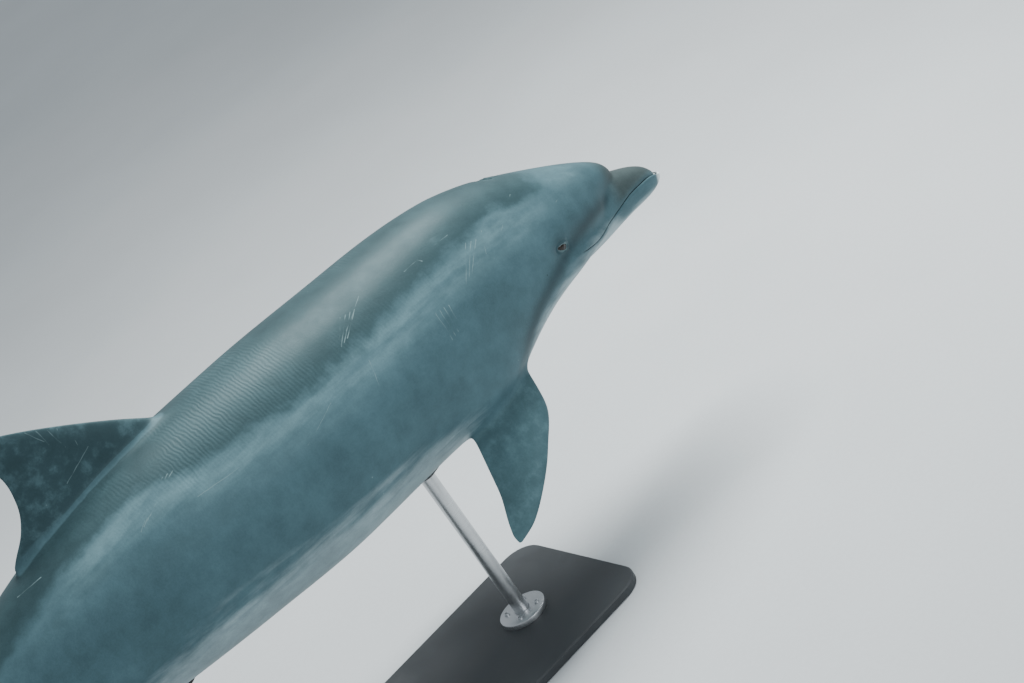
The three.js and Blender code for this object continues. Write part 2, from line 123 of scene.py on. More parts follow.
# ---- Places in the skin's layout, whose sides are 1 ----
LAYOUT_GAP = 0.01
CAP_ROW = 0.97                 # where the small pieces lie that close tips and ends
CAP_SIZE = 0.02

# ---- Dimensions of the stand's own detail ----
FLANGE_GAP = 0.0003            # between a rod and its flange
FLANGE_ROUNDING = 0.0025
EDGE_ROUNDING = 0.0012         # of the base
BOLT_CIRCLE = 0.037
BOLTS = 4

# ---- The camera, fitted to the photo ----
SENSOR = 36                    # millimetres
LENS = 82.625
CAMERA_ANGLES = (-24.444, 22.842, -34.236)    # azimuth, elevation and roll, in degrees
CAMERA_PLACE = (-2.3977, -4.1454, 2.4140)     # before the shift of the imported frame


# ---- Smooth profiles, in shares of the length ----

def curve(points):
    """Monotone cubic through the given points, for arrays."""
    x, y = np.array(points, float).T
    slopes = np.diff(y) / np.diff(x)
    before = np.append(slopes[0], slopes)
    after = np.append(slopes, slopes[-1])
    total = np.where(before + after == 0, 1, before + after)
    tangents = np.where(before * after <= 0, 0, 2 * before * after / total)

    def value(at):
        at = np.clip(at, x[0], x[-1])
        i = np.clip(np.searchsorted(x, at) - 1, 0, len(x) - 2)
        step = x[i + 1] - x[i]
        t = (at - x[i]) / step
        return ((1 + 2 * t) * (1 - t) ** 2 * y[i] + t * (1 - t) ** 2 * step * tangents[i]
                + t * t * (3 - 2 * t) * y[i + 1] + t * t * (t - 1) * step * tangents[i + 1])

    return value


back = curve([(0.040, 0.017), (0.0415, 0.0225), (0.044, 0.0275), (0.05, 0.034), (0.06, 0.0395),
              (0.08, 0.0475), (0.11, 0.0575), (0.137, 0.066), (0.17, 0.0755), (0.20, 0.0815),
              (0.25, 0.086), (0.30, 0.0885), (0.40, 0.0935), (0.50, 0.0945), (0.60, 0.083),
              (0.70, 0.061), (0.80, 0.0435), (0.90, 0.028), (0.95, 0.0185), (1, 0.004)])
belly = curve([(0.040, -0.016), (0.08, -0.0245), (0.11, -0.032), (0.137, -0.041), (0.20, -0.065),
               (0.25, -0.079), (0.30, -0.085), (0.40, -0.086), (0.50, -0.0785), (0.60, -0.067),
               (0.70, -0.051), (0.80, -0.0345), (0.90, -0.0215), (0.95, -0.0145), (1, -0.004)])
half_width = curve([(0.040, 0.004), (0.0415, 0.013), (0.044, 0.019), (0.05, 0.0245), (0.06, 0.030),
                    (0.08, 0.036), (0.11, 0.0425), (0.137, 0.048), (0.20, 0.062), (0.25, 0.072),
                    (0.30, 0.078), (0.40, 0.0815), (0.50, 0.077), (0.60, 0.065), (0.70, 0.044),
                    (0.80, 0.0255), (0.90, 0.0135), (0.95, 0.0105), (1, 0.004)])
middle = curve([(0, 0), (0.05, -0.006), (0.10, -0.011), (0.14, -0.012), (0.20, -0.010),
                (0.30, -0.006), (0.50, 0), (0.70, 0.002), (1, 0)])
squareness = curve([(0, 2.3), (0.10, 2.25), (0.20, 2.1), (0.40, 2.05), (0.60, 1.95), (0.80, 1.75),
                    (0.90, 1.65), (1, 1.8)])
beak_top = curve([(-0.004, 0), (-0.0034, 0.0025), (-0.001, 0.006), (0.005, 0.0110), (0.015, 0.0152),
                  (0.04, 0.0210), (0.08, 0.029), (0.12, 0.036)])
beak_low = curve([(-0.004, 0), (-0.0034, -0.0034), (-0.001, -0.0075), (0.005, -0.011),
                  (0.015, -0.0142), (0.04, -0.019), (0.08, -0.0275), (0.12, -0.035)])
beak_half_width = curve([(-0.004, 0), (-0.0034, 0.0038), (-0.001, 0.0078), (0.005, 0.0115),
                         (0.015, 0.0148), (0.04, 0.019), (0.08, 0.028), (0.12, 0.036)])
mouth_level = curve([(-0.02, 0), (-0.004, 0), (0.013, 0.0035), (0.026, 0.0025), (0.04, 0.0005),
                     (0.06, -0.005), (0.08, -0.0105), (0.10, -0.014), (0.112, -0.0138),
                     (MOUTH_CORNER, -0.012)])
fin_front = curve([(0, 0), (0.25, 0.031), (0.5, 0.066), (0.75, 0.105), (0.92, 0.137), (1, 0.158)])
fin_rear = curve([(0, 0.163), (0.12, 0.145), (0.3, 0.133), (0.5, 0.129), (0.7, 0.134),
                  (0.9, 0.150), (1, 0.163)])
flipper_front = curve([(0, 0.010), (0.15, 0.0025), (0.35, 0), (0.6, 0.0165), (0.8, 0.036),
                       (0.93, 0.052), (1, 0.065)])
flipper_rear = curve([(0, 0.050), (0.15, 0.062), (0.3, 0.069), (0.45, 0.067), (0.7, 0.067),
                      (0.9, 0.071), (1, 0.072)])
fluke_front = curve([(0, 0.908), (0.1, 0.918), (0.25, 0.932), (0.45, 0.953), (0.65, 0.978),
                     (0.85, 1.007), (0.96, 1.026), (1, 1.036)])
fluke_rear = curve([(0, 0.9985), (0.04, 1.006), (0.12, 1.013), (0.28, 1.017), (0.5, 1.0155),
                    (0.7, 1.018), (0.88, 1.029), (1, 1.041)])


def smooth(low, high, x):
    """0 below low, 1 above high, and an even S between. It falls instead where high is the smaller one."""
    t = np.clip((x - low) / (high - low), 0, 1)
    return t * t * (3 - 2 * t)


def hump(x, centre, width):
    """A bell of height 1 round a centre."""
    return np.exp(-((x - centre) / width) ** 2)


def unit(vectors):
    return vectors / np.linalg.norm(vectors, axis=-1, keepdims=True)


# ---- The straight body ----

def quarter_round(angle, half, top, low, power):
    """Distance from a section's middle to its outline at an angle above the level."""
    height = np.where(np.sin(angle) >= 0, top, -low)
    across = np.abs(np.cos(angle)) / np.maximum(half, 1e-6)
    up = np.abs(np.sin(angle)) / np.maximum(height, 1e-6)
    return (across ** power + up ** power) ** (-1 / power)


def relief(s, angle):
    """What stands out of the plain sections: brow ridge, hollow of the cheek and shoulder."""
    rise = np.arcsin(np.sin(angle))
    face = smooth(0.055, 0.078, s) * smooth(0.155, 0.128, s)
    brow = BROW_LIFT * hump(rise, math.radians(36), math.radians(16))
    cheek = CHEEK_HOLLOW * hump(rise, math.radians(12), math.radians(11))
    shoulder = SHOULDER * hump(s, 0.245, 0.05) * hump(rise, math.radians(-42), math.radians(22))
    return face * (brow - cheek) + shoulder


def body_radius(s, angle):
    """Outline of the body at a station, in metres: the beak runs on into the head, whose melon rises
    over it and starts further back at the sides."""
    mid = middle(s)
    power = squareness(s)
    rise = np.arcsin(np.sin(angle))
    sweep = CREASE_SWEEP * smooth(math.radians(80), math.radians(24), rise)
    at = s - sweep * smooth(BEAK_END + 0.005, 0.06, s)
    head = quarter_round(angle, half_width(at), back(at) - mid, belly(at) - mid, power) + relief(s, angle)
    head = np.where(at > MELON_START, head, 0)
    beak = quarter_round(angle, beak_half_width(s), beak_top(s) - mid, beak_low(s) - mid, power)
    softness = MELON_CREASE * np.clip((BEAK_END - s) / 0.03, 0, 1) * np.minimum(head / 0.01, 1)
    both = 0.5 * (beak + head + np.hypot(beak - head, softness))
    return np.where(s < BEAK_END + 0.005, both, head) * LENGTH


def body_point(s, angle, lift=0.0):
    """A point of the left side's surface, or lifted off it along its own section."""
    reach = body_radius(s, angle) + lift
    return np.stack([-s * LENGTH + 0 * reach, reach * np.cos(angle),
                     middle(s) * LENGTH + reach * np.sin(angle)], axis=-1)


def mirrored(points):
    return points * np.array([1, -1, 1])


def stations():
    """Stations of the rings, denser on the head and at the crease of the melon."""
    runs = [(0.015, 0.036, 0.0020), (0.036, 0.062, 0.0011), (0.062, 0.185, 0.00185),
            (0.185, 0.30, 0.0031), (0.30, 0.90, 0.0046), (0.90, TAIL_END, 0.0033)]
    tip = [-0.0039, -0.0034, -0.0026, -0.0015, 0.0, 0.002, 0.0045, 0.0075, 0.011]
    made = [np.linspace(a, b, round((b - a) / step), endpoint=False) for a, b, step in runs]
    return np.concatenate([tip, *made, [TAIL_END]])


def mouth_angle(s):
    """Angle at which the mouth's line crosses the ring of a station."""
    level = (mouth_level(s) - middle(s)) * LENGTH
    angle = np.zeros_like(s)
    for _ in range(20):
        angle = np.arcsin(np.clip(level / body_radius(s, angle), -0.9, 0.9))
    return angle * smooth(0.155, 0.125, s)


def column_angles(s):
    """Angles of the columns from belly to back, crowded together beside the mouth's line."""
    mouth = mouth_angle(s)
    step = math.pi / AROUND * 2
    crowding = LIP_WIDTH / (step * body_radius(s, mouth))
    crowding = crowding + (1 - crowding) * smooth(0.120, 0.140, s)
    count = np.arange(HALF + 1) - MOUTH_COLUMN
    steps = np.abs(count)
    near = np.exp(-((steps - 1) / 1.9) ** 2)
    share = steps * (1 - (1 - crowding) * near) / MOUTH_COLUMN
    share[:, [0, -1]] = 1
    above = mouth + share * (math.pi / 2 - mouth)
    below = mouth - share * (math.pi / 2 + mouth)
    return np.where(count >= 0, above, below)


ROWS = stations()


def body_side():
    """Points of the left half's grid, a row for each station, and how deep each lies in the groove."""
    s = ROWS[:, None]
    angle = column_angles(s)
    mouth = angle[:, MOUTH_COLUMN:MOUTH_COLUMN + 1]
    steps = np.arange(HALF + 1) - MOUTH_COLUMN
    open_mouth = smooth(MOUTH_CORNER, MOUTH_CORNER - 0.010, s)
    radius = body_radius(s, angle)
    arc = (angle - mouth) * radius
    groove = np.where(steps == 0, 1.0, np.where(np.abs(steps) == 1, 0.12, 0.0)) * open_mouth
    depth = np.minimum(GROOVE_DEPTH, 0.35 * radius)
    swell = LIP_SWELL * (hump(arc, -0.006, 0.005) + 0.7 * hump(arc, 0.006, 0.005)) * open_mouth
    swell = swell * smooth(-0.004, 0.01, s)
    points = body_point(s, angle, swell - groove * depth)
    fade = np.clip((SETBACK_ENDS - s) / SETBACK_ENDS, 0, 1)
    upper = np.clip((np.sign(steps) + 1) / 2, 0, 1)
    points[..., 0] -= SETBACK * LENGTH * fade * upper
    return points, groove


# ---- Gathering the skin ----

class Skin:
    """Points and faces of the one skin, in straight coordinates, with what its material needs to know."""

    def __init__(self):
        self.points = []
        self.notes = {"span": [], "slit": [], "lid": []}
        self.faces = []
        self.layout = []

    def add(self, points, **notes):
        """Adds points in an array of any shape, and returns their numbers in that shape."""
        shape = np.shape(points)[:-1]
        start = len(self.points)
        self.points.extend(np.reshape(points, (-1, 3)))
        for name, kept in self.notes.items():
            kept.extend(np.broadcast_to(notes.get(name, 0.0), shape).ravel())
        return np.arange(start, len(self.points)).reshape(shape)

    def face(self, corners, places):
        """Adds a face, leaving out a corner that is there twice."""
        kept = [n for n, corner in enumerate(corners) if corner not in corners[:n]]
        self.faces.append([int(corners[n]) for n in kept])
        self.layout.append([places[n] for n in kept])

    def bridge(self, first, second, first_places, second_places):
        """Joins two closed rings. The places in the layout have one more column than the rings."""
        count = len(first)
        for m in range(count):
            n = (m + 1) % count
            self.face([first[m], first[n], second[n], second[m]],
                      [first_places[m], first_places[m + 1], second_places[m + 1], second_places[m]])

    def cap(self, ring, start, corner, size):
        """Closes a ring that is symmetric about its member start, with strips from side to side."""
        count = len(ring)
        half = count // 2
        one = [ring[(start + m) % count] for m in range(half + 1)]
        other = [ring[(start - m) % count] for m in range(half + 1)]
        for m in range(half):
            near, far = corner[0] + size * m / half, corner[0] + size * (m + 1) / half
            low, high = corner[1], corner[1] + size / 2
            self.face([one[m], one[m + 1], other[m + 1], other[m]],
                      [(near, low), (far, low), (far, high), (near, high)])


def layout_along(s):
    """Place of a station along the layout. The head gets more than its share."""
    return np.interp(s, [SNOUT, 0.20, 1.0], [0.002, 0.40, 0.998])


def body_places():
    """Layout of the body's grid, a column more than there are, since it is cut along the belly."""
    along = np.broadcast_to(layout_along(ROWS)[:, None], (len(ROWS), AROUND + 1))
    round_it = np.broadcast_to(0.002 + 0.656 * np.arange(AROUND + 1) / AROUND, along.shape)
    return np.stack([along, round_it], axis=-1)


def hole_ring(rows, columns):
    """Row and column of each point round a rectangle: back along its last column, across its last row,
    forwards along its first column and across its first row."""
    (i0, i1), (j0, j1) = rows, columns
    ring = [(i, j1) for i in range(i0, i1)]
    ring += [(i1, j) for j in range(j1, j0, -1)]
    ring += [(i, j0) for i in range(i1, i0, -1)]
    ring += [(i0, j) for j in range(j0, j1)]
    return np.array(ring)


def mirror_columns(columns):
    return (AROUND - columns[1], AROUND - columns[0])


def row_at(station):
    return int(np.argmin(np.abs(ROWS - station)))


# ---- Fins ----

def thickness_curve(u):
    """Half thickness of a fin's section along its chord, for a thickness and a chord of 1."""
    return 5 * (0.2969 * np.sqrt(u) - 0.126 * u - 0.3516 * u ** 2 + 0.2843 * u ** 3 - 0.1036 * u ** 4)


def fin_point(front, rear, normal, thickness, u, side):
    """Point of a fin's surface from its edges: u runs from front to rear, side from -1 to 1 through it."""
    chord = rear - front
    length = np.linalg.norm(chord, axis=-1)
    half = np.maximum(thickness_curve(u) * thickness * length, TRAILING_HALF * smooth(0.4, 0.6, u))
    return front + chord * u[..., None] + np.asarray(normal) * (side * half)[..., None]


def dorsal_point(u, side, v):
    along = np.maximum(v, 0)
    level = (FIN_BASE + FIN_HEIGHT * v) * LENGTH
    front = np.stack([-(FIN_STATION + fin_front(along)) * LENGTH, 0 * v, level], axis=-1)
    rear = np.stack([-(FIN_STATION + fin_rear(along)) * LENGTH, 0 * v, level], axis=-1)
    return fin_point(front, rear, (0, -1, 0), FIN_THICKNESS, u, side)


def flipper_point(u, side, v, droop=FLIPPER_DROOP):
    """A flipper on the left; with the plain droop, its mirror image is the right one."""
    span = np.array([-math.sin(FLIPPER_SWEEP), math.cos(FLIPPER_SWEEP) * math.cos(droop),
                     -math.cos(FLIPPER_SWEEP) * math.sin(droop)])
    flat = np.array([-1.0, 0, 0])
    flat = unit(flat - flat.dot(span) * span)
    turn = Quaternion(Vector(span), -FLIPPER_TWIST)
    chord = np.array(turn @ Vector(flat))
    normal = np.cross(span, chord)
    reach = float(body_radius(np.array(FLIPPER_STATION), FLIPPER_ROOT_ANGLE)) * FLIPPER_DEPTH
    root = np.array([-FLIPPER_STATION * LENGTH, reach * math.cos(FLIPPER_ROOT_ANGLE),
                     float(middle(FLIPPER_STATION)) * LENGTH + reach * math.sin(FLIPPER_ROOT_ANGLE)])
    along = np.maximum(v, 0)
    start = root + span * (v * FLIPPER_LENGTH * LENGTH)[..., None]
    front = start + chord * (flipper_front(along) * LENGTH)[..., None]
    rear = start + chord * (flipper_rear(along) * LENGTH)[..., None]
    return fin_point(front, rear, normal, FLIPPER_THICKNESS * (1 - 0.25 * along), u, side)


def left_flipper_point(u, side, v):
    return flipper_point(u, side, v, FLIPPER_DROOP - LEFT_FLIPPER_RAISE)


def fluke_point(u, side, v):
    """The left fluke."""
    out = v * FLUKE_HALF_SPAN * LENGTH
    along = np.maximum(v, 0)
    front = np.stack([-fluke_front(along) * LENGTH, out, 0 * v], axis=-1)
    rear = np.stack([-fluke_rear(along) * LENGTH, out, 0 * v], axis=-1)
    return fin_point(front, rear, (0, 0, 1), FLUKE_THICKNESS, u, side)


def outside(points):
    """How far points lie outside the body, measured in their section; negative inside."""
    s = -points[..., 0] / LENGTH
    up = points[..., 2] - middle(s) * LENGTH
    angle = np.arctan2(up, np.abs(points[..., 1]))
    return np.hypot(points[..., 1], up) - body_radius(s, angle)


def brought_out(points):
    """Moves points that are inside the body straight out to its surface."""
    level = middle(-points[:, 0] / LENGTH) * LENGTH
    reach = np.hypot(points[:, 1], points[:, 2] - level)
    share = np.maximum(1, 1 - outside(points) / reach)
    return np.stack([points[:, 0], points[:, 1] * share, level + (points[:, 2] - level) * share], axis=-1)


def emergence(shape, u, side, low, high):
    """Share of the span at which each line of a fin comes out of the body."""
    low, high = np.full(u.shape, low), np.full(u.shape, high)
    for _ in range(40):
        half = (low + high) / 2
        inside = outside(shape(u, side, half)) < 0
        low = np.where(inside, half, low)
        high = np.where(inside, high, half)
    return low


def section_ring(rows, columns, ends):
    """Chord share and side of each point of a fin's ring, in the order of the ring round its hole."""
    front, rear = ends
    along = np.arange(rows) / rows
    across = np.arange(columns) / columns
    turn = np.pi * across
    straight = front + (rear - front) * along
    nose = np.where(across == 0.5, 0, np.sign(across - 0.5))
    u = np.concatenate([straight, rear + (1 - rear) * np.sin(turn),
                        rear + (front - rear) * along, front * (1 - np.sin(turn))])
    side = np.concatenate([np.ones(rows), np.cos(turn), -np.ones(rows), nose])
    return np.clip(u, 0, 1), side


class Fin:
    """One fin's shape and where it goes: its hole in the body's grid and its corner of the layout."""

    def __init__(self, shape, search, length, holds, ends, steps, corner, size):
        self.shape = shape
        self.search = search          # shares of the span surely inside and surely outside
        self.length = length
        self.rows, self.columns = holds
        self.ends = ends              # chord shares where the straight sides begin and end
        self.steps = steps
        self.corner = corner
        self.size = size

    def rings(self, base):
        """Rings from the hole's edge outwards: the flare of the root, then the sections up to the tip."""
        u, side = section_ring(self.rows[1] - self.rows[0], self.columns[1] - self.columns[0], self.ends)
        out = emergence(self.shape, u, side, *self.search)
        first = out + FILLET / self.length
        root = self.shape(u, side, out)
        start = self.shape(u, side, first)
        rings, spans = [], []
        for t in np.linspace(0, 1, 6)[1:-1]:
            near = base + 0.6 * (root - base)
            far = start + 0.6 * (root - start)
            flare = ((1 - t) ** 3 * base + 3 * (1 - t) ** 2 * t * near
                     + 3 * (1 - t) * t * t * far + t ** 3 * start)
            rings.append(brought_out(flare))
            spans.append(FLARE_SPAN * t + 0 * u)
        for step in range(self.steps + 1):
            share = 1 - (1 - step / self.steps) ** 1.35
            v = first + (1 - first) * share
            section = self.shape(u, side, v)
            heart = section.mean(axis=0)
            beyond = max(0, (share - TIP_ROUNDING) / (1 - TIP_ROUNDING)) * TIP_CLOSING
            rings.append(heart + (section - heart) * math.sqrt(1 - beyond ** 2))
            spans.append(np.maximum(v, FLARE_SPAN))
        return rings, spans

    def graft(self, skin, numbers, points, mirror):
        """Joins the fin to the edge of its hole, or its mirror image on the other side."""
        ring = hole_ring(self.rows, self.columns)
        base = points[ring[:, 0], ring[:, 1]]
        rings, spans = self.rings(base)
        columns = (AROUND - ring[:, 1]) % AROUND if mirror else ring[:, 1]
        previous = numbers[ring[:, 0], columns]
        corner = (self.corner[0] + (self.size[0] + LAYOUT_GAP) * mirror, self.corner[1])
        across = corner[0] + self.size[0] * np.arange(len(ring) + 1) / len(ring)
        for n, (made, span) in enumerate(zip(rings, spans)):
            number = skin.add(mirrored(made) if mirror else made, span=span)
            low = corner[1] + self.size[1] * n / len(rings)
            high = corner[1] + self.size[1] * (n + 1) / len(rings)
            skin.bridge(previous, number, [(x, low) for x in across], [(x, high) for x in across])
            previous = number
        nose = len(ring) - (self.columns[1] - self.columns[0]) // 2
        skin.cap(previous, nose, (corner[0], CAP_ROW), CAP_SIZE)


# The holes in the body's grid lie round the fins' roots: rows by station, then columns.
DORSAL = Fin(dorsal_point, search=(-0.32, 0.5), length=FIN_HEIGHT * LENGTH,
             holds=((row_at(FIN_STATION - 0.008), row_at(FIN_STATION + 0.171)), (HALF - 3, HALF + 3)),
             ends=(0.02, 0.985), steps=22, corner=(0.002, 0.67), size=(0.36, 0.16))
RIGHT_FLIPPER, LEFT_FLIPPER = [Fin(shape, search=(-0.3, 0.6), length=FLIPPER_LENGTH * LENGTH,
                                   holds=((row_at(0.209), row_at(0.302)), (10, 18)),
                                   ends=(0.03, 0.96), steps=26, corner=(0.002, 0.84), size=(0.24, 0.12))
                               for shape in (flipper_point, left_flipper_point)]
FLUKE = Fin(fluke_point, search=(0.0, 0.5), length=FLUKE_HALF_SPAN * LENGTH,
            holds=((row_at(0.898), len(ROWS) - 1), (HALF // 2 - 11, HALF // 2 + 11)),
            ends=(0.10, 0.93), steps=24, corner=(0.372, 0.67), size=(0.30, 0.16))


# ---- Eye ----

def eye_reach():
    """Sideways distance of the head's surface from the midline at the eye, and its angle."""
    level = (EYE_LEVEL - middle(EYE_STATION)) * LENGTH
    angle = 0.0
    for _ in range(20):
        angle = math.asin(level / float(body_radius(np.array(EYE_STATION), angle)))
    return float(body_radius(np.array(EYE_STATION), angle)) * math.cos(angle), angle


EYE_REACH, EYE_ANGLE = eye_reach()
EYE_CENTRE = np.array([-EYE_STATION * LENGTH, EYE_REACH + EYE_STANDS_OUT - EYE_RADIUS, EYE_LEVEL * LENGTH])


def eye_axes():
    """Forward, upward and outward directions of the skin at the left eye."""
    s = np.array([EYE_STATION, EYE_STATION - 0.004, EYE_STATION])
    angle = np.array([EYE_ANGLE, EYE_ANGLE, EYE_ANGLE + 0.06])
    at, ahead, above = body_point(s, angle)
    forward = unit(ahead - at)
    outward = unit(np.cross(forward, above - at))
    outward = outward * np.sign(outward[1])
    upward = np.cross(outward, forward)
    upward = upward * np.sign(upward[2])
    return forward, upward, outward


FORWARD, UPWARD, OUTWARD = eye_axes()
EYE_HOLE = ((row_at(EYE_STATION - EYE_HOLE_HALF), row_at(EYE_STATION + EYE_HOLE_HALF)), (32, 39))


def opening(turn):
    """Edge of the eyelids in a direction, as distances forwards and upwards from the eye's centre."""
    a = OPENING_HALF * np.cos(turn)
    height = np.where(np.sin(turn) > 0, OPENING_UP, OPENING_DOWN)
    b = height * np.sign(np.sin(turn)) * np.abs(np.sin(turn)) ** 1.15
    tilt = OPENING_TILT
    return a * math.cos(tilt) - b * math.sin(tilt), a * math.sin(tilt) + b * math.cos(tilt)


def on_eyeball(a, b, radius):
    """Point in front of the eyeball, for distances forwards and upwards from its centre."""
    up_to = np.sqrt(np.maximum(EYE_RADIUS ** 2 - a * a - b * b, 0))
    direction = (a[..., None] * FORWARD + b[..., None] * UPWARD + up_to[..., None] * OUTWARD) / EYE_RADIUS
    return EYE_CENTRE + direction * radius


def lids(skin, numbers, points, places, mirror):
    """Closes the skin round the eye: rings from the hole's edge to the lids' rims, then in behind them."""
    ring = hole_ring(*EYE_HOLE)
    base = points[ring[:, 0], ring[:, 1]]
    away = base - EYE_CENTRE
    a0, b0 = away @ FORWARD, away @ UPWARD
    turn = np.arctan2(b0 / 0.75, a0)
    a1, b1 = opening(turn)
    rim = on_eyeball(a1, b1, EYE_RADIUS + LID_THICKNESS)
    columns = (AROUND - ring[:, 1]) % AROUND if mirror else ring[:, 1]
    previous = numbers[ring[:, 0], columns]
    shelf = places[ring[:, 0], columns]
    centre = shelf.mean(axis=0)
    last = shelf
    s0 = -base[:, 0] / LENGTH
    angle0 = np.arctan2(base[:, 2] - middle(s0) * LENGTH, base[:, 1])
    s1 = EYE_STATION - a1 / LENGTH
    angle1 = EYE_ANGLE + b1 / float(body_radius(np.array(EYE_STATION), EYE_ANGLE))
    lift = rim - body_point(s1, angle1)
    rings = []
    for t in (0.12, 0.24, 0.36, 0.47, 0.57, 0.66, 0.74, 0.81, 0.87, 0.92, 0.97):
        made = body_point(s0 + (s1 - s0) * t, angle0 + (angle1 - angle0) * t)
        made = made + lift * smooth(0.1, 1.0, t) ** 1.2
        a, b = (made - EYE_CENTRE) @ FORWARD, (made - EYE_CENTRE) @ UPWARD
        around = np.arctan2(b / 0.75, a)
        gap = np.hypot(a, b) - np.hypot(*opening(around))
        above = smooth(-0.4, 0.6, np.sin(around))
        fold = LID_FOLD * hump(gap, 0.0034, 0.0022)
        crease = LID_CREASE * hump(gap, 0.0080, 0.0020) * (0.35 + 0.65 * above)
        made = made + (fold - crease)[:, None] * OUTWARD
        # lid marks the eyelids' rims, which get a painted highlight.
        rings.append((made, 0.6 * smooth(0.0035, 0.0005, gap), 0.0))
    rings.append((rim, 1.0, 0.0))
    # The rings tucked behind the rims are marked slit, for their painted shade.
    rings.append((on_eyeball(a1, b1, EYE_RADIUS + 0.0001), 0.8, 0.7))
    rings.append((on_eyeball(a1 * 1.13, b1 * 1.13, EYE_RADIUS - 0.0008), 0.0, 1.0))
    for n, (made, lid, slit) in enumerate(rings):
        number = skin.add(mirrored(made) if mirror else made, lid=lid, slit=slit)
        now = centre + (shelf - centre) * (1 - 0.07 * (n + 1))
        skin.bridge(previous, number, np.vstack([last, last[:1]]), np.vstack([now, now[:1]]))
        previous, last = number, now


# ---- Blowhole ----

BLOWHOLE_CENTRE = BLOWHOLE_STATION - BLOWHOLE_RADIUS / LENGTH
BLOWHOLE_HOLE = ((row_at(BLOWHOLE_CENTRE - BLOWHOLE_HOLE_HALF), row_at(BLOWHOLE_CENTRE + BLOWHOLE_HOLE_HALF)),
                 (HALF - 4, HALF + 4))


def crown_point(ahead, aside, lift):
    """Point on top of the head, for distances ahead of the blowhole's centre and to the left."""
    s = BLOWHOLE_CENTRE - ahead / LENGTH
    angle = np.full(np.shape(ahead), math.pi / 2)
    for _ in range(6):
        angle = np.arccos(np.clip(aside / body_radius(s, angle), -0.9, 0.9))
    return body_point(s, angle, lift)


def blowhole(skin, numbers, points, places):
    """Closes the crown with rings round the middle of the crescent slit, its horns pointing forwards."""
    ring = hole_ring(*BLOWHOLE_HOLE)
    base = points[ring[:, 0], ring[:, 1]]
    ahead = base[:, 0] + BLOWHOLE_CENTRE * LENGTH
    aside = base[:, 1]
    turn = np.arctan2(aside, ahead)
    edge = np.hypot(ahead, aside)
    open_part = smooth(math.radians(98), math.radians(126), np.abs(turn))
    previous = numbers[ring[:, 0], ring[:, 1]]
    shelf = places[ring[:, 0], ring[:, 1]]
    centre = shelf.mean(axis=0)
    last = shelf
    radii = (0.030, 0.0255, 0.0220, 0.0196, 0.0181, BLOWHOLE_RADIUS, 0.0160, 0.0145, 0.0122, 0.0090, 0.0050)
    rings = [radii[0] + (edge - radii[0]) * share for share in (0.66, 0.33)]
    rings += [np.full(edge.shape, radius) for radius in radii]
    for radius in rings:
        off = radius - BLOWHOLE_RADIUS
        # slit sets both the crescent's depth and its painted shade.
        slit = hump(off, 0, 0.0009) * open_part
        lips = BLOWHOLE_LIP * hump(np.abs(off), 0.0034, 0.0024) * open_part
        dish = -0.0022 * hump(radius, 0.026, 0.008) * open_part
        plug = BLOWHOLE_PLUG * smooth(0.017, 0.006, radius)
        lift = -BLOWHOLE_DEPTH * slit + lips + dish + plug
        number = skin.add(crown_point(radius * np.cos(turn), radius * np.sin(turn), lift), slit=slit)
        now = centre + (shelf - centre) * (radius / edge)[:, None]
        skin.bridge(previous, number, np.vstack([last, last[:1]]), np.vstack([now, now[:1]]))
        previous, last = number, now
    hub = skin.add(crown_point(np.zeros(1), np.zeros(1), BLOWHOLE_PLUG))
    for m in range(len(previous)):
        n = (m + 1) % len(previous)
        skin.face([previous[m], previous[n], hub[0]], [last[m], last[n], centre])


# ---- The whole skin ----

def inside_hole(i, j, holes):
    return any(rows[0] <= i < rows[1] and columns[0] <= j < columns[1] for rows, columns in holes)


def gather_skin():
    skin = Skin()
    side, groove = body_side()
    points = np.concatenate([side, mirrored(side)[:, HALF - 1:0:-1]], axis=1)
    # The groove's depth also sets the painted shade along the mouth's line.
    slit = np.concatenate([groove, groove[:, HALF - 1:0:-1]], axis=1)
    numbers = skin.add(points, slit=slit)
    places = body_places()
    holes = [(DORSAL.rows, DORSAL.columns), BLOWHOLE_HOLE]
    for rows, columns in [(LEFT_FLIPPER.rows, LEFT_FLIPPER.columns), (FLUKE.rows, FLUKE.columns), EYE_HOLE]:
        holes += [(rows, columns), (rows, mirror_columns(columns))]
    for i in range(len(ROWS) - 1):
        for j in range(AROUND):
            if not inside_hole(i, j, holes):
                n = (j + 1) % AROUND
                skin.face([numbers[i, j], numbers[i, n], numbers[i + 1, n], numbers[i + 1, j]],
                          [places[i, j], places[i, j + 1], places[i + 1, j + 1], places[i + 1, j]])
    skin.cap(numbers[0], 0, (0.90, CAP_ROW), CAP_SIZE)
    skin.cap(numbers[-1], 0, (0.94, CAP_ROW), CAP_SIZE)
    DORSAL.graft(skin, numbers, points, False)
    blowhole(skin, numbers, points, places)
    LEFT_FLIPPER.graft(skin, numbers, points, False)
    RIGHT_FLIPPER.graft(skin, numbers, points, True)
    for mirror in (False, True):
        FLUKE.graft(skin, numbers, points, mirror)
        lids(skin, numbers, points, places, mirror)
    return skin


# ---- The pose ----

def bend_share(s):
    return smooth(0, NECK_BEND_TO - NECK_BEND_FROM, NECK_BEND_TO - s)


def bent_axis(s):
    """Place of the bent axis at stations, in metres: forwards and upwards."""
    fine = np.linspace(NECK_BEND_TO, -0.02, 1200)
    step = fine[1] - fine[0]
    pitch = NECK_BEND * bend_share(fine[:-1] + step / 2)
    forwards = np.append(0, np.cumsum(-step * np.cos(pitch))) - NECK_BEND_TO
    upwards = np.append(0, np.cumsum(-step * np.sin(pitch)))
    x = np.interp(s, fine[::-1], forwards[::-1]) - np.maximum(s - NECK_BEND_TO, 0)
    return x * LENGTH, np.interp(s, fine[::-1], upwards[::-1]) * LENGTH


def shift_forwards():
    """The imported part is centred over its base; its front rod tells by how much."""
    low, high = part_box("stand_rod_front")
    return (low.x + high.x) / 2 + ROD_STATION * LENGTH


SHIFT = shift_forwards()


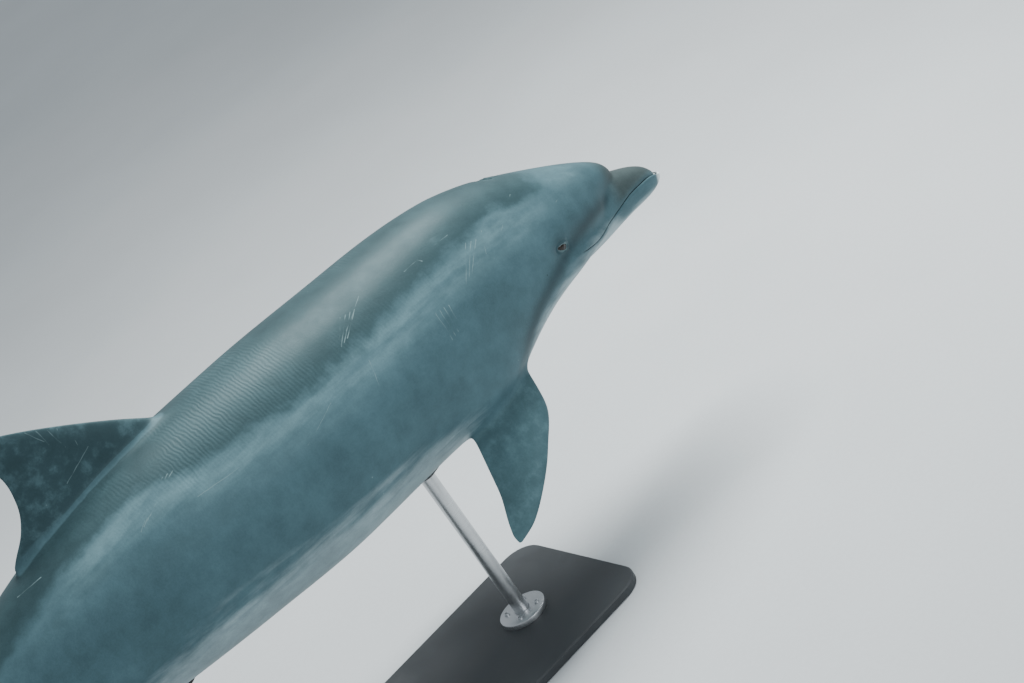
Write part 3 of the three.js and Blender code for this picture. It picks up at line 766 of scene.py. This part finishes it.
def posed(points):
    """Straight points at their places in the pose."""
    s = -points[..., 0] / LENGTH
    level = points[..., 2]
    pitch = NECK_BEND * bend_share(s)
    x, z = bent_axis(s)
    drop = TAIL_DROP * LENGTH * (np.maximum(s - TAIL_DROP_FROM, 0) / (1 - TAIL_DROP_FROM)) ** 2
    return np.stack([x - level * np.sin(pitch) + SHIFT, points[..., 1],
                     AXIS_HEIGHT + z + drop + level * np.cos(pitch)], axis=-1)


# ---- Markings, with painted light and shade ----

# Edges of the colour areas: station, then degrees above the level of the section's middle.
cape_edge = curve([(0.05, 72), (0.10, 66), (0.171, 56), (0.276, 47), (0.348, 43.6), (0.430, 45.7),
                   (0.482, 52), (0.547, 66), (0.65, 62), (0.80, 45), (0.95, 10)])
pale_edge = curve([(0.045, -2), (0.10, -9), (0.15, -20), (0.20, -38), (0.25, -52), (0.30, -40),
                   (0.35, -32), (0.41, -30), (0.50, -26), (0.565, -28), (0.65, -38), (0.75, -52),
                   (0.85, -68), (0.95, -80)])
# Middle of the dark stripe from the melon's crease past the eye towards the flipper: partly the real eye
# stripe, partly painted shade under the brow.
stripe_and_shade_middle = curve([(0.058, 44), (0.069, 34), (0.0795, 30), (0.0945, 25), (0.1224, 14), (0.143, 3),
                     (0.184, -17), (0.206, -28), (0.233, -41)])
# Painted light: paler patches where the crown and the nape are lit. Station, degrees, and half sizes along
# and across.
PAINTED_LIGHT_PATCHES = [(0.096, 71, 0.022, 13), (0.173, 70, 0.012, 8), (0.176, 53, 0.020, 7), (0.225, 62, 0.018, 5)]


def markings(points, span):
    """How far each point is inside each colour area: 0.5 at its edge, and 0 or 1 well away from it."""
    s = -points[:, 0] / LENGTH
    up = points[:, 2] - middle(s) * LENGTH
    rise = np.degrees(np.arctan2(up, np.abs(points[:, 1])))
    on_body = smooth(0.02, 0.0, span)
    mouth = (points[:, 2] / LENGTH - mouth_level(s)) * 1000
    # The cape is held lighter on the head: painted light on the crown.
    cape = np.minimum(0.5 + (rise - cape_edge(s)) / 50, 0.45 + 0.9 * smooth(0.09, 0.30, s))
    blaze = hump(rise - cape_edge(s), -9, 11) * smooth(0.10, 0.18, s) * smooth(0.68, 0.56, s)
    # Painted light on the crown and the nape.
    for station, degrees, length, width in PAINTED_LIGHT_PATCHES:
        patch = hump(s, station, length) * hump(rise, degrees, width)
        blaze = np.maximum(blaze, 0.7 * patch)
        cape = cape - 0.2 * patch
    on_jaw = smooth(0.075, 0.045, s)
    pale = 0.5 + (pale_edge(s) - rise) / 50
    # On the jaw the pale starts some way below the mouth's line; the grey band above it is painted shade.
    pale = pale * (1 - on_jaw) + (0.5 - (mouth + 14) / 26) * on_jaw
    # Dark stripe and a dark ring round the eye: partly the real eye stripe, partly painted shade under the
    # brow and round the eye.
    eye_stripe_and_shade = hump(rise - stripe_and_shade_middle(s), 0, 8.5) * smooth(0.052, 0.068, s) * smooth(0.245, 0.20, s)
    ring = np.hypot((s - EYE_STATION) * LENGTH, points[:, 2] - EYE_LEVEL * LENGTH)
    eye_stripe_and_shade = np.maximum(eye_stripe_and_shade, hump(ring, 0, 0.024))
    beak = smooth(0.066, 0.044, s) * smooth(-2, 6, mouth)
    tip = smooth(0.010, -0.002, s) * smooth(2, -2, mouth)
    fields = {"cape": cape, "blaze": blaze, "pale": pale, "eye_stripe_and_shade": eye_stripe_and_shade, "beak": beak, "tip": tip}
    fields = {name: np.clip(field, 0, 1) * on_body for name, field in fields.items()}
    fields["underside"] = smooth(0.004, -0.004, points[:, 2]) * smooth(0.88, 0.90, s) * (1 - on_body)
    fields["dorsal"] = smooth(0.06, 0.08, points[:, 2] / LENGTH) * (1 - on_body)
    # Ridged skin on the upper trunk, where the ridges' lighter stripes are painted highlight.
    fields["trunk"] = smooth(0.20, 0.30, s) * smooth(0.60, 0.45, s) * smooth(32, 56, rise) * on_body
    return fields


def skin_spot(station, degrees, side):
    """A straight point of the skin, on the left for side 1 and on the right for side -1."""
    point = body_point(np.array(station), np.array(math.radians(degrees)))
    return point * np.array([1, side, 1])


def fin_spot(share, height):
    """A straight point of the dorsal fin's right side, by the shares of its chord and of its height."""
    return dorsal_point(np.array(share), 1, np.array(height))


def body_line(start, end, side, width, strength):
    """A line between two places, each a station and degrees, as its ends, half width and strength."""
    return skin_spot(*start, side), skin_spot(*end, side), width, strength


def rake_lines():
    """Scratches: single ones, the dorsal fin's, then the parallel marks of other dolphins' teeth."""
    lines = [body_line((0.192, 53), (0.202, 40), -1, 0.0012, 0.8),
             body_line((0.2582, 68.3), (0.2455, 56), -1, 0.0016, 0.9),
             body_line((0.6154, 73.5), (0.6349, 79), -1, 0.0018, 0.9),
             body_line((0.150, 66), (0.178, 48), -1, 0.0010, 0.6),
             body_line((0.215, 60), (0.262, 57), -1, 0.0012, 0.6),
             body_line((0.300, 62), (0.330, 52), -1, 0.0012, 0.7),
             body_line((0.380, 30), (0.415, 22), -1, 0.0012, 0.5),
             body_line((0.335, 34), (0.342, 20), -1, 0.0012, 0.6),
             body_line((0.455, 36), (0.500, 40), -1, 0.0014, 0.5),
             body_line((0.095, 62), (0.120, 50), -1, 0.0009, 0.6),
             body_line((0.240, 40), (0.275, 20), 1, 0.0014, 0.7),
             body_line((0.420, 55), (0.470, 48), 1, 0.0014, 0.6)]
    for n in range(5):
        height = 0.50 + 0.045 * n
        end = fin_spot(0.30 + 0.05 * (n % 2), height - 0.14)
        lines.append((fin_spot(0.05, height), end, 0.0015, 0.45))
    lines.append((fin_spot(0.30, 0.30), fin_spot(0.62, 0.20), 0.0014, 0.6))
    sets = [(0.2616, 28.8, 0.2651, 14.4, -1, 4), (0.318, 58, 0.340, 49, -1, 4),
            (0.205, 50, 0.228, 34, -1, 3), (0.505, 58, 0.540, 50, -1, 4), (0.395, 52, 0.402, 38, 1, 4)]
    for a, b, c, d, side, count in sets:
        for n in range(count):
            aside = TOOTH_GAP * (n - (count - 1) / 2)
            start = (a + aside, b + 0.6 * n)
            end = (c + aside, d - 0.8 * n)
            lines.append(body_line(start, end, side, 0.0014, 0.85 - 0.12 * n))
    return lines


def small_openings():
    """The navel, the long slit of the belly, and on each side an ear hole and a short slit, drawn as lines of
    painted shade.
    """
    lines = [body_line((0.1625, 3), (0.1626, 3), side, 0.0022, 0.8) for side in (1, -1)]
    lines.append(body_line((0.462, -90), (0.470, -90), 1, 0.0035, 0.8))
    lines.append(body_line((0.615, -90), (0.668, -90), 1, 0.0030, 0.8))
    lines += [body_line((0.640, -84.5), (0.650, -84.5), side, 0.0022, 0.8) for side in (1, -1)]
    return lines


# ---- Materials ----

class Graph:
    """Short names for building a material's nodes."""

    def __init__(self, name):
        self.material = bpy.data.materials.new(name)
        self.material.use_nodes = True
        self.tree = self.material.node_tree
        self.shader = self.tree.nodes["Principled BSDF"]

    def feed(self, socket, value):
        """Links a node's output to an input, or sets the input to a plain value."""
        if isinstance(value, bpy.types.NodeSocket):
            self.tree.links.new(value, socket)
        else:
            socket.default_value = value

    def node(self, kind, inputs, **settings):
        made = self.tree.nodes.new("ShaderNode" + kind)
        for name, value in settings.items():
            setattr(made, name, value)
        for name, value in inputs.items():
            self.feed(made.inputs[name], value)
        return made

    def shade(self, **inputs):
        """Sets inputs of the shader, with _ for a space in their names."""
        for name, value in inputs.items():
            self.feed(self.shader.inputs[name.replace("_", " ")], value)

    def number(self, name):
        return self.node("Attribute", {}, attribute_name=name).outputs["Fac"]

    def place(self, name):
        return self.node("Attribute", {}, attribute_name=name).outputs["Vector"]

    def own_place(self):
        return self.node("TexCoord", {}).outputs["Object"]

    def scaled(self, at, scale):
        return self.node("VectorMath", {0: at, 1: scale}, operation="MULTIPLY").outputs[0]

    def math(self, operation, a, b=0.0, c=0.0):
        return self.node("Math", {0: a, 1: b, 2: c}, operation=operation).outputs[0]

    def step(self, value, low, high, bottom=0.0, top=1.0):
        """Goes smoothly from bottom to top while the value goes from low to high."""
        inputs = {0: value, 1: low, 2: high, 3: bottom, 4: top}
        return self.node("MapRange", inputs, interpolation_type="SMOOTHSTEP").outputs[0]

    def blend(self, amount, first, second):
        return self.node("Mix", {0: amount, 6: first, 7: second}, data_type="RGBA").outputs[2]

    def two_tone(self, value, low, high, first, second):
        """The first colour where value is at low, the second where it is at high, a mix between them."""
        return self.blend(self.step(value, low, high), first, second)

    def tint(self, colour, brightness):
        """The colour made brighter or darker by a number near 1."""
        grey = self.node("CombineColor", {0: brightness, 1: brightness, 2: brightness}).outputs[0]
        return self.node("Mix", {0: 1.0, 6: colour, 7: grey}, data_type="RGBA",
                         blend_type="MULTIPLY").outputs[2]

    def noise(self, at, scale, detail=3.0, roughness=0.5):
        inputs = {"Vector": at, "Scale": scale, "Detail": detail, "Roughness": roughness}
        return self.node("TexNoise", inputs).outputs[0]

    def spots(self, at, scale):
        return self.node("TexVoronoi", {"Vector": at, "Scale": scale}).outputs["Distance"]

    def bands(self, at, scale, distortion):
        """Bands across the X direction."""
        inputs = {"Vector": at, "Scale": scale, "Distortion": distortion, "Detail": 2.0}
        return self.node("TexWave", inputs, bands_direction="X").outputs["Fac"]

    def bump(self, height, distance, strength=1.0):
        inputs = {"Height": height, "Distance": distance, "Strength": strength}
        return self.node("Bump", inputs).outputs[0]


def scratch_group():
    """Node group: 1 on the line between two points and 0 away from it."""
    tree = bpy.data.node_groups.new("scratch", "ShaderNodeTree")
    for name in ("at", "start", "along"):
        tree.interface.new_socket(name, in_out="INPUT", socket_type="NodeSocketVector")
    for name in ("square", "width", "strength"):
        tree.interface.new_socket(name, in_out="INPUT", socket_type="NodeSocketFloat")
    tree.interface.new_socket("mark", in_out="OUTPUT", socket_type="NodeSocketFloat")
    given = tree.nodes.new("NodeGroupInput")
    result = tree.nodes.new("NodeGroupOutput")

    def vector(operation, a, b):
        made = tree.nodes.new("ShaderNodeVectorMath")
        made.operation = operation
        tree.links.new(a, made.inputs[0])
        tree.links.new(b, made.inputs["Scale" if operation == "SCALE" else 1])
        return made

    def plain(operation, a, b, clamp=False):
        made = tree.nodes.new("ShaderNodeMath")
        made.operation = operation
        made.use_clamp = clamp
        tree.links.new(a, made.inputs[0])
        tree.links.new(b, made.inputs[1])
        return made.outputs[0]

    off = vector("SUBTRACT", given.outputs["at"], given.outputs["start"]).outputs[0]
    dot = vector("DOT_PRODUCT", off, given.outputs["along"]).outputs["Value"]
    share = plain("DIVIDE", dot, given.outputs["square"], clamp=True)
    nearest = vector("SCALE", given.outputs["along"], share).outputs[0]
    gap = vector("DISTANCE", off, nearest).outputs["Value"]
    fade = tree.nodes.new("ShaderNodeMapRange")
    fade.interpolation_type = "SMOOTHSTEP"
    tree.links.new(gap, fade.inputs[0])
    tree.links.new(given.outputs["width"], fade.inputs[1])
    fade.inputs[2].default_value = 0.0
    tree.links.new(plain("MULTIPLY", fade.outputs[0], given.outputs["strength"]), result.inputs["mark"])
    return tree


def drawn_lines(graph, group, at, lines, offset):
    """All lines in one number; the place and the offset are in millimetres."""
    total = None
    for start, end, width, strength in lines:
        along = (end - start) * 1000
        values = {"at": at, "start": tuple(start * 1000 + offset), "along": tuple(along),
                  "square": float(along.dot(along)), "width": width * 1000, "strength": strength}
        made = graph.node("Group", values, node_tree=group)
        total = made.outputs[0] if total is None else graph.math("MAXIMUM", total, made.outputs[0])
    return total


def scratches_and_openings(graph, at):
    """One number for the scratches, which sway a little, and one for the small openings of the skin, which
    are painted as shade.
    """
    group = scratch_group()
    waves = graph.node("TexNoise", {"Vector": at, "Scale": 22.0, "Detail": 2.0}).outputs["Color"]
    straight = graph.scaled(at, (1000, 1000, 1000))
    sway = (SCRATCH_SWAY, SCRATCH_SWAY, SCRATCH_SWAY)
    swaying = graph.node("VectorMath", {0: waves, 1: sway, 2: straight}, operation="MULTIPLY_ADD").outputs[0]
    return (drawn_lines(graph, group, swaying, rake_lines(), SCRATCH_SWAY / 2),
            drawn_lines(graph, group, straight, small_openings(), 0))


# Colours of the skin, as linear red, green, blue and alpha.
FLANK = (0.064, 0.120, 0.140, 1)
CAPE = (0.029, 0.056, 0.063, 1)
BLAZE = (0.125, 0.215, 0.240, 1)
BELLY = (0.290, 0.375, 0.400, 1)
# Dark eye stripe, deepened into painted shade under the brow and round the eye.
EYE_STRIPE_AND_SHADE = (0.020, 0.036, 0.043, 1)
BEAK = (0.054, 0.066, 0.063, 1)
JAW_TIP = (0.60, 0.66, 0.65, 1)
SCAR = (0.24, 0.34, 0.35, 1)
# Painted highlight on the eyelids' rims.
LID_RIM_HIGHLIGHT = (0.20, 0.29, 0.30, 1)
FIN = (0.060, 0.112, 0.126, 1)
DORSAL_FIN = (0.026, 0.048, 0.054, 1)
# Painted shade for the grooves, slits and small openings.
SHADE_IN_OPENINGS = (0.012, 0.014, 0.015, 1)


def skin_material():
    graph = Graph("skin")
    at = graph.place("straight")
    cloudy = graph.noise(at, 5.0, 4.0, 0.55)
    mottled = graph.noise(at, 28.0, 5.0, 0.6)
    streaky = graph.noise(graph.scaled(at, (5.0, 34.0, 34.0)), 1.0, 4.0, 0.6)
    fine = graph.noise(at, 240.0, 3.0, 0.6)
    ragged = graph.math("ADD", graph.step(cloudy, 0.2, 0.8, -0.11, 0.11),
                        graph.step(mottled, 0.2, 0.8, -0.07, 0.07))
    streaks = graph.step(streaky, 0.2, 0.8, -0.16, 0.16)

    def area(name, softness, edge):
        moved = graph.math("ADD", graph.number(name), edge)
        return graph.step(moved, 0.5 - softness, 0.5 + softness)

    def part(name, strength):
        return graph.math("MULTIPLY", graph.number(name), strength)

    colour = graph.blend(part("blaze", graph.step(streaky, 0.30, 0.68, 0.25, 1.0)), FLANK, BLAZE)
    colour = graph.blend(area("cape", 0.10, ragged), colour, CAPE)
    colour = graph.blend(area("pale", 0.24, streaks), colour, BELLY)
    # The eye stripe with its painted shade under the brow and round the eye.
    colour = graph.blend(part("eye_stripe_and_shade", 0.80), colour, EYE_STRIPE_AND_SHADE)
    colour = graph.blend(part("beak", 0.85), colour, BEAK)
    colour = graph.two_tone(graph.number("tip"), 0.2, 0.7, colour, JAW_TIP)
    on_fin = graph.step(graph.number("span"), 0.0, 0.05)
    fin_colour = graph.blend(graph.number("dorsal"), FIN, DORSAL_FIN)
    fin_colour = graph.blend(graph.step(mottled, 0.46, 0.72, 0.0, 0.36), fin_colour, BLAZE)
    colour = graph.blend(graph.math("MULTIPLY", on_fin, 0.85), colour, fin_colour)
    colour = graph.blend(part("underside", 0.7), colour, BELLY)
    patches = graph.step(cloudy, 0.32, 0.70, 0.87, 1.15)
    grain = graph.step(mottled, 0.25, 0.75, 0.88, 1.12)
    speckle = graph.step(fine, 0.3, 0.7, 0.95, 1.05)
    colour = graph.tint(colour, graph.math("MULTIPLY", patches, graph.math("MULTIPLY", grain, speckle)))

    ridges_and_sheen = graph.math("MULTIPLY", part("trunk", graph.step(cloudy, 0.42, 0.62)), graph.bands(at, 38.0, 5.0))
    # Painted highlight: the ridges lighten the colour in stripes, besides their bump.
    colour = graph.tint(colour, graph.math("MULTIPLY_ADD", ridges_and_sheen, 0.22, 0.94))
    marks, openings = scratches_and_openings(graph, at)
    worn = graph.math("MULTIPLY", marks, graph.step(mottled, 0.3, 0.55, 0.35, 0.9))
    colour = graph.blend(worn, colour, SCAR)
    pocks = graph.step(graph.spots(at, 46.0), 0.10, 0.04)
    pocks = graph.math("MULTIPLY", pocks, graph.step(mottled, 0.58, 0.66))
    colour = graph.blend(graph.math("MULTIPLY", pocks, 0.45), colour, SCAR)
    # Painted highlight: a paler rim along the eyelids.
    colour = graph.blend(part("lid", 0.6), colour, LID_RIM_HIGHLIGHT)
    # Painted shade in the mouth's groove, behind the eyelids and in the blowhole's slit.
    colour = graph.two_tone(graph.number("slit"), 0.25, 0.85, colour, SHADE_IN_OPENINGS)
    # Painted shade in the small openings.
    colour = graph.blend(openings, colour, SHADE_IN_OPENINGS)

    roughness = graph.step(mottled, 0.25, 0.75, 0.46, 0.56)
    roughness = graph.math("MULTIPLY_ADD", marks, 0.12, roughness)
    height = graph.math("MULTIPLY", ridges_and_sheen, 0.20)
    height = graph.math("MULTIPLY_ADD", fine, 0.16, height)
    height = graph.math("MULTIPLY_ADD", mottled, 0.35, height)
    graph.shade(Base_Color=colour, Roughness=roughness, Normal=graph.bump(height, 0.0012),
                Specular_IOR_Level=0.26, Specular_Tint=(0.55, 0.88, 0.95, 1), Coat_Weight=0.03,
                Coat_Roughness=0.22)
    return graph.material


def eye_material():
    """Nearly black pupil, dark brown iris with fine rays, darker rim and a dull white round it."""
    graph = Graph("eye")
    off = graph.number("off_axis")
    at = graph.place("facing")
    rays = graph.noise(graph.scaled(at, (60.0, 60.0, 60.0)), 1.0, 4.0, 0.6)
    cloud = graph.noise(at, 3.0, 3.0, 0.5)
    iris = graph.two_tone(rays, 0.35, 0.65, (0.006, 0.004, 0.003, 1), (0.022, 0.013, 0.008, 1))
    white = graph.two_tone(cloud, 0.35, 0.65, (0.028, 0.022, 0.020, 1), (0.055, 0.044, 0.040, 1))
    colour = graph.two_tone(off, 0.62, 0.72, iris, white)
    limbus = graph.math("MULTIPLY", graph.step(off, 0.52, 0.62), graph.step(off, 0.74, 0.66))
    colour = graph.blend(limbus, colour, (0.008, 0.006, 0.005, 1))
    colour = graph.two_tone(graph.number("pupil"), 1.08, 0.92, colour, (0.003, 0.003, 0.004, 1))
    wet = graph.step(cloud, 0.3, 0.7, 0.04, 0.09)
    graph.shade(Base_Color=colour, Roughness=wet, Specular_IOR_Level=0.4,
                Normal=graph.bump(rays, 0.0001, 0.2))
    return graph.material


def paint_material():
    graph = Graph("stand_paint")
    at = graph.own_place()
    peel = graph.noise(at, 420.0, 2.0, 0.5)
    dust = graph.noise(at, 9.0, 5.0, 0.6)
    colour = graph.two_tone(dust, 0.3, 0.7, (0.028, 0.031, 0.034, 1), (0.043, 0.047, 0.051, 1))
    graph.shade(Base_Color=colour, Roughness=graph.step(dust, 0.3, 0.7, 0.42, 0.58), Metallic=0.1,
                Normal=graph.bump(peel, 0.0003, 0.6))
    return graph.material


def steel_material():
    """Stainless steel, brushed round the rods."""
    graph = Graph("stand_steel")
    at = graph.own_place()
    brushed = graph.noise(graph.scaled(at, (6.0, 6.0, 1600.0)), 1.0, 3.0, 0.7)
    smudges = graph.noise(at, 14.0, 4.0, 0.6)
    colour = graph.two_tone(brushed, 0.3, 0.7, (0.50, 0.51, 0.52, 1), (0.64, 0.65, 0.66, 1))
    smudged = graph.step(smudges, 0.4, 0.7, 0.0, 0.10)
    roughness = graph.math("ADD", graph.step(brushed, 0.3, 0.7, 0.24, 0.36), smudged)
    graph.shade(Base_Color=colour, Metallic=1.0, Roughness=roughness, Normal=graph.bump(brushed, 0.0002, 0.5))
    return graph.material


def rubber_material():
    graph = Graph("stand_pad")
    at = graph.own_place()
    grain = graph.noise(at, 900.0, 3.0, 0.6)
    worn = graph.noise(at, 40.0, 4.0, 0.6)
    colour = graph.two_tone(worn, 0.3, 0.7, (0.014, 0.014, 0.015, 1), (0.030, 0.030, 0.031, 1))
    graph.shade(Base_Color=colour, Roughness=graph.step(worn, 0.3, 0.7, 0.62, 0.80),
                Normal=graph.bump(grain, 0.0004, 0.7))
    return graph.material


def floor_material():
    graph = Graph("floor")
    at = graph.own_place()
    cloud = graph.noise(at, 0.7, 5.0, 0.55)
    grain = graph.noise(at, 90.0, 3.0, 0.6)
    colour = graph.two_tone(cloud, 0.3, 0.7, (0.56, 0.58, 0.59, 1), (0.61, 0.63, 0.64, 1))
    colour = graph.tint(colour, graph.step(grain, 0.3, 0.7, 0.985, 1.015))
    graph.shade(Base_Color=colour, Roughness=graph.step(cloud, 0.3, 0.7, 0.65, 0.8),
                Normal=graph.bump(grain, 0.0004, 0.4))
    return graph.material


# ---- Objects ----

def new_object(name, points, faces, smooth_faces=True):
    mesh = bpy.data.meshes.new(name)
    mesh.from_pydata([tuple(p) for p in points], [], faces)
    mesh.polygons.foreach_set("use_smooth", np.full(len(mesh.polygons), smooth_faces))
    thing = bpy.data.objects.new(name, mesh)
    bpy.context.scene.collection.objects.link(thing)
    return thing


def tube_faces(rings, columns):
    """Four-sided faces between closed rings of points, which are numbered ring by ring."""
    faces = []
    for i in range(rings - 1):
        for j in range(columns):
            here, after = i * columns + j, i * columns + (j + 1) % columns
            faces.append([here, after, after + columns, here + columns])
    return faces


def tidy_mesh(mesh, join_within=0.0):
    """Joins points that close together, turns all faces outwards and drops points that no face uses."""
    work = bmesh.new()
    work.from_mesh(mesh)
    if join_within > 0:
        bmesh.ops.remove_doubles(work, verts=work.verts, dist=join_within)
    bmesh.ops.recalc_face_normals(work, faces=work.faces)
    loose = [v for v in work.verts if not v.link_faces]
    bmesh.ops.delete(work, geom=loose, context="VERTS")
    work.to_mesh(mesh)
    work.free()


def note(mesh, name, values, kind="FLOAT"):
    """Stores a number or a vector at each point, for the material."""
    made = mesh.attributes.new(name, kind, "POINT")
    made.data.foreach_set("value" if kind == "FLOAT" else "vector", np.ravel(values).astype(np.float32))


def subdivide(thing, levels):
    finer = thing.modifiers.new("finer", "SUBSURF")
    finer.levels = levels
    finer.render_levels = levels


def make_skin():
    skin = gather_skin()
    straight = np.array(skin.points)
    thing = new_object("skin", posed(straight), skin.faces)
    mesh = thing.data
    note(mesh, "straight", straight, "FLOAT_VECTOR")
    for name, values in {**skin.notes, **markings(straight, np.array(skin.notes["span"]))}.items():
        note(mesh, name, values)
    layer = mesh.uv_layers.new(name="OFBake")
    layer.data.foreach_set("uv", np.concatenate([np.array(p) for p in skin.layout]).ravel())
    tidy_mesh(mesh)
    subdivide(thing, 1)
    mesh.materials.append(skin_material())
    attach(thing, "root")
    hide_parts("beak_upper", "lower_jaw", "head", "neck", "trunk_front", "trunk_rear",
                "tail_stock_front", "tail_stock_rear", "dorsal_fin", "flipper_right", "flipper_left",
                "fluke_right", "fluke_left")


def make_eye(name, side, material):
    """Eyeball with a raised cornea, its axis square to the skin."""
    rings, columns = 48, 64
    away = np.linspace(0.004, math.pi - 0.004, rings)[:, None]
    turn = np.arange(columns)[None, :] * 2 * math.pi / columns
    facing = np.stack([np.sin(away) * np.cos(turn), np.sin(away) * np.sin(turn),
                       np.cos(away) + 0 * turn], axis=-1)
    radius = EYE_RADIUS * (1 + 0.030 * hump(away, 0, 0.42)) + 0 * turn
    points = facing[..., 0:1] * FORWARD + facing[..., 1:2] * UPWARD + facing[..., 2:3] * OUTWARD
    points = (EYE_CENTRE + points * radius[..., None]).reshape(-1, 3)
    faces = tube_faces(rings, columns)
    faces += [list(range(columns)), list(range((rings - 1) * columns, rings * columns))]
    thing = new_object(name, posed(points if side > 0 else mirrored(points)), faces)
    facing = facing.reshape(-1, 3)
    note(thing.data, "facing", facing, "FLOAT_VECTOR")
    note(thing.data, "off_axis", np.arccos(np.clip(facing[:, 2], -1, 1)))
    note(thing.data, "pupil", np.hypot(facing[:, 0] / 0.24, facing[:, 1] / 0.15))
    tidy_mesh(thing.data)
    thing.data.materials.append(material)
    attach(thing, "root")
    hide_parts("eye_left" if side > 0 else "eye_right")


def turned(name, profile, centre, material, segments=96):
    """A piece turned on a vertical axis, from its radii and heights."""
    angles = np.arange(segments) * 2 * math.pi / segments
    points = [(centre[0] + r * math.cos(a), centre[1] + r * math.sin(a), z)
              for r, z in profile for a in angles]
    thing = new_object(name, points, tube_faces(len(profile), segments))
    tidy_mesh(thing.data, 1e-6)
    thing.data.set_sharp_from_angle(angle=math.radians(35))
    thing.data.materials.append(material)
    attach(thing, "root")
    return thing


def make_rod(place, steel):
    low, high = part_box(f"stand_rod_{place}")
    centre = ((low.x + high.x) / 2, 0)
    radius = (high.x - low.x) / 2
    rod = turned(f"rod_{place}", [(0, low.z), (radius, low.z), (radius, high.z), (0, high.z)], centre, steel)
    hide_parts(f"stand_rod_{place}")
    low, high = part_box(f"stand_flange_{place}")
    inner, outer, top = radius + FLANGE_GAP, (high.x - low.x) / 2, high.z
    ring = [(inner, low.z), (outer, low.z), (outer, top - FLANGE_ROUNDING),
            (outer - 0.3 * FLANGE_ROUNDING, top - 0.3 * FLANGE_ROUNDING), (outer - FLANGE_ROUNDING, top),
            (inner + 0.0012, top), (inner, top - 0.0012), (inner, low.z)]
    flange = turned(f"flange_{place}", ring, centre, steel)
    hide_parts(f"stand_flange_{place}")
    head = [(0, top), (0.0058, top), (0.0058, top + 0.0034), (0.0050, top + 0.0042),
            (0.0030, top + 0.0042), (0.0028, top + 0.0016), (0, top + 0.0016)]
    for n in range(BOLTS):
        angle = math.radians(45) + n * 2 * math.pi / BOLTS
        spot = (centre[0] + BOLT_CIRCLE * math.cos(angle), BOLT_CIRCLE * math.sin(angle))
        turned(f"bolt_{place}_{n}", head, spot, steel, 32)


def dress_stand():
    """Rods and flanges get round new pieces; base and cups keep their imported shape."""
    steel, paint, rubber = steel_material(), paint_material(), rubber_material()
    for place in ("front", "rear"):
        make_rod(place, steel)
        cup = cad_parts[f"stand_cup_{place}"]
        cup.data.materials.clear()
        cup.data.materials.append(rubber)
    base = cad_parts["stand_base"]
    base.data.materials.clear()
    base.data.materials.append(paint)
    edge = base.modifiers.new("edge", "BEVEL")
    edge.width = EDGE_ROUNDING
    edge.segments = 3
    edge.limit_method = "ANGLE"


# ---- Camera, floor and lights ----

def place_camera():
    data = bpy.data.cameras.new("camera")
    data.sensor_width = SENSOR
    data.lens = LENS
    data.clip_end = 200
    camera = bpy.data.objects.new("camera", data)
    bpy.context.scene.collection.objects.link(camera)
    azimuth, elevation, roll = (math.radians(angle) for angle in CAMERA_ANGLES)
    away = Vector((math.sin(azimuth) * math.cos(elevation), -math.cos(azimuth) * math.cos(elevation),
                   math.sin(elevation)))
    camera.location = Vector(CAMERA_PLACE) + Vector((SHIFT, 0, 0))
    camera.rotation_mode = "QUATERNION"
    camera.rotation_quaternion = (-away).to_track_quat("-Z", "Y") @ Quaternion((0, 0, 1), roll)
    bpy.context.scene.camera = camera


def place_floor():
    size = 60
    corners = [(-size, -size, 0), (size, -size, 0), (size, size, 0), (-size, size, 0)]
    floor = new_object("floor", corners, [(0, 1, 2, 3)], False)
    floor.data.materials.append(floor_material())


def area_light(name, place, target, size, power, colour):
    data = bpy.data.lights.new(name, "AREA")
    data.shape = "DISK"
    data.size = size
    data.energy = power
    data.color = colour
    light = bpy.data.objects.new(name, data)
    bpy.context.scene.collection.objects.link(light)
    light.location = place
    light.rotation_mode = "QUATERNION"
    light.rotation_quaternion = (Vector(target) - Vector(place)).to_track_quat("-Z", "Y")


def soft_world():
    world = bpy.data.worlds.new("studio")
    world.use_nodes = True
    background = world.node_tree.nodes["Background"]
    background.inputs["Color"].default_value = (0.78, 0.86, 0.92, 1)
    background.inputs["Strength"].default_value = 0.62
    bpy.context.scene.world = world


make_skin()
eyes = eye_material()
make_eye("eyeball_right", -1, eyes)
make_eye("eyeball_left", 1, eyes)
dress_stand()
place_camera()
place_floor()
area_light("key", (2.1, 0.5, 3.8), (0.3, 0, 0.6), 2.2, 300, (0.96, 1.0, 1.0))
area_light("fill", (1.2, -4.6, 2.2), (0.2, 0, 0.6), 3.0, 70, (0.90, 0.96, 1.0))
soft_world()
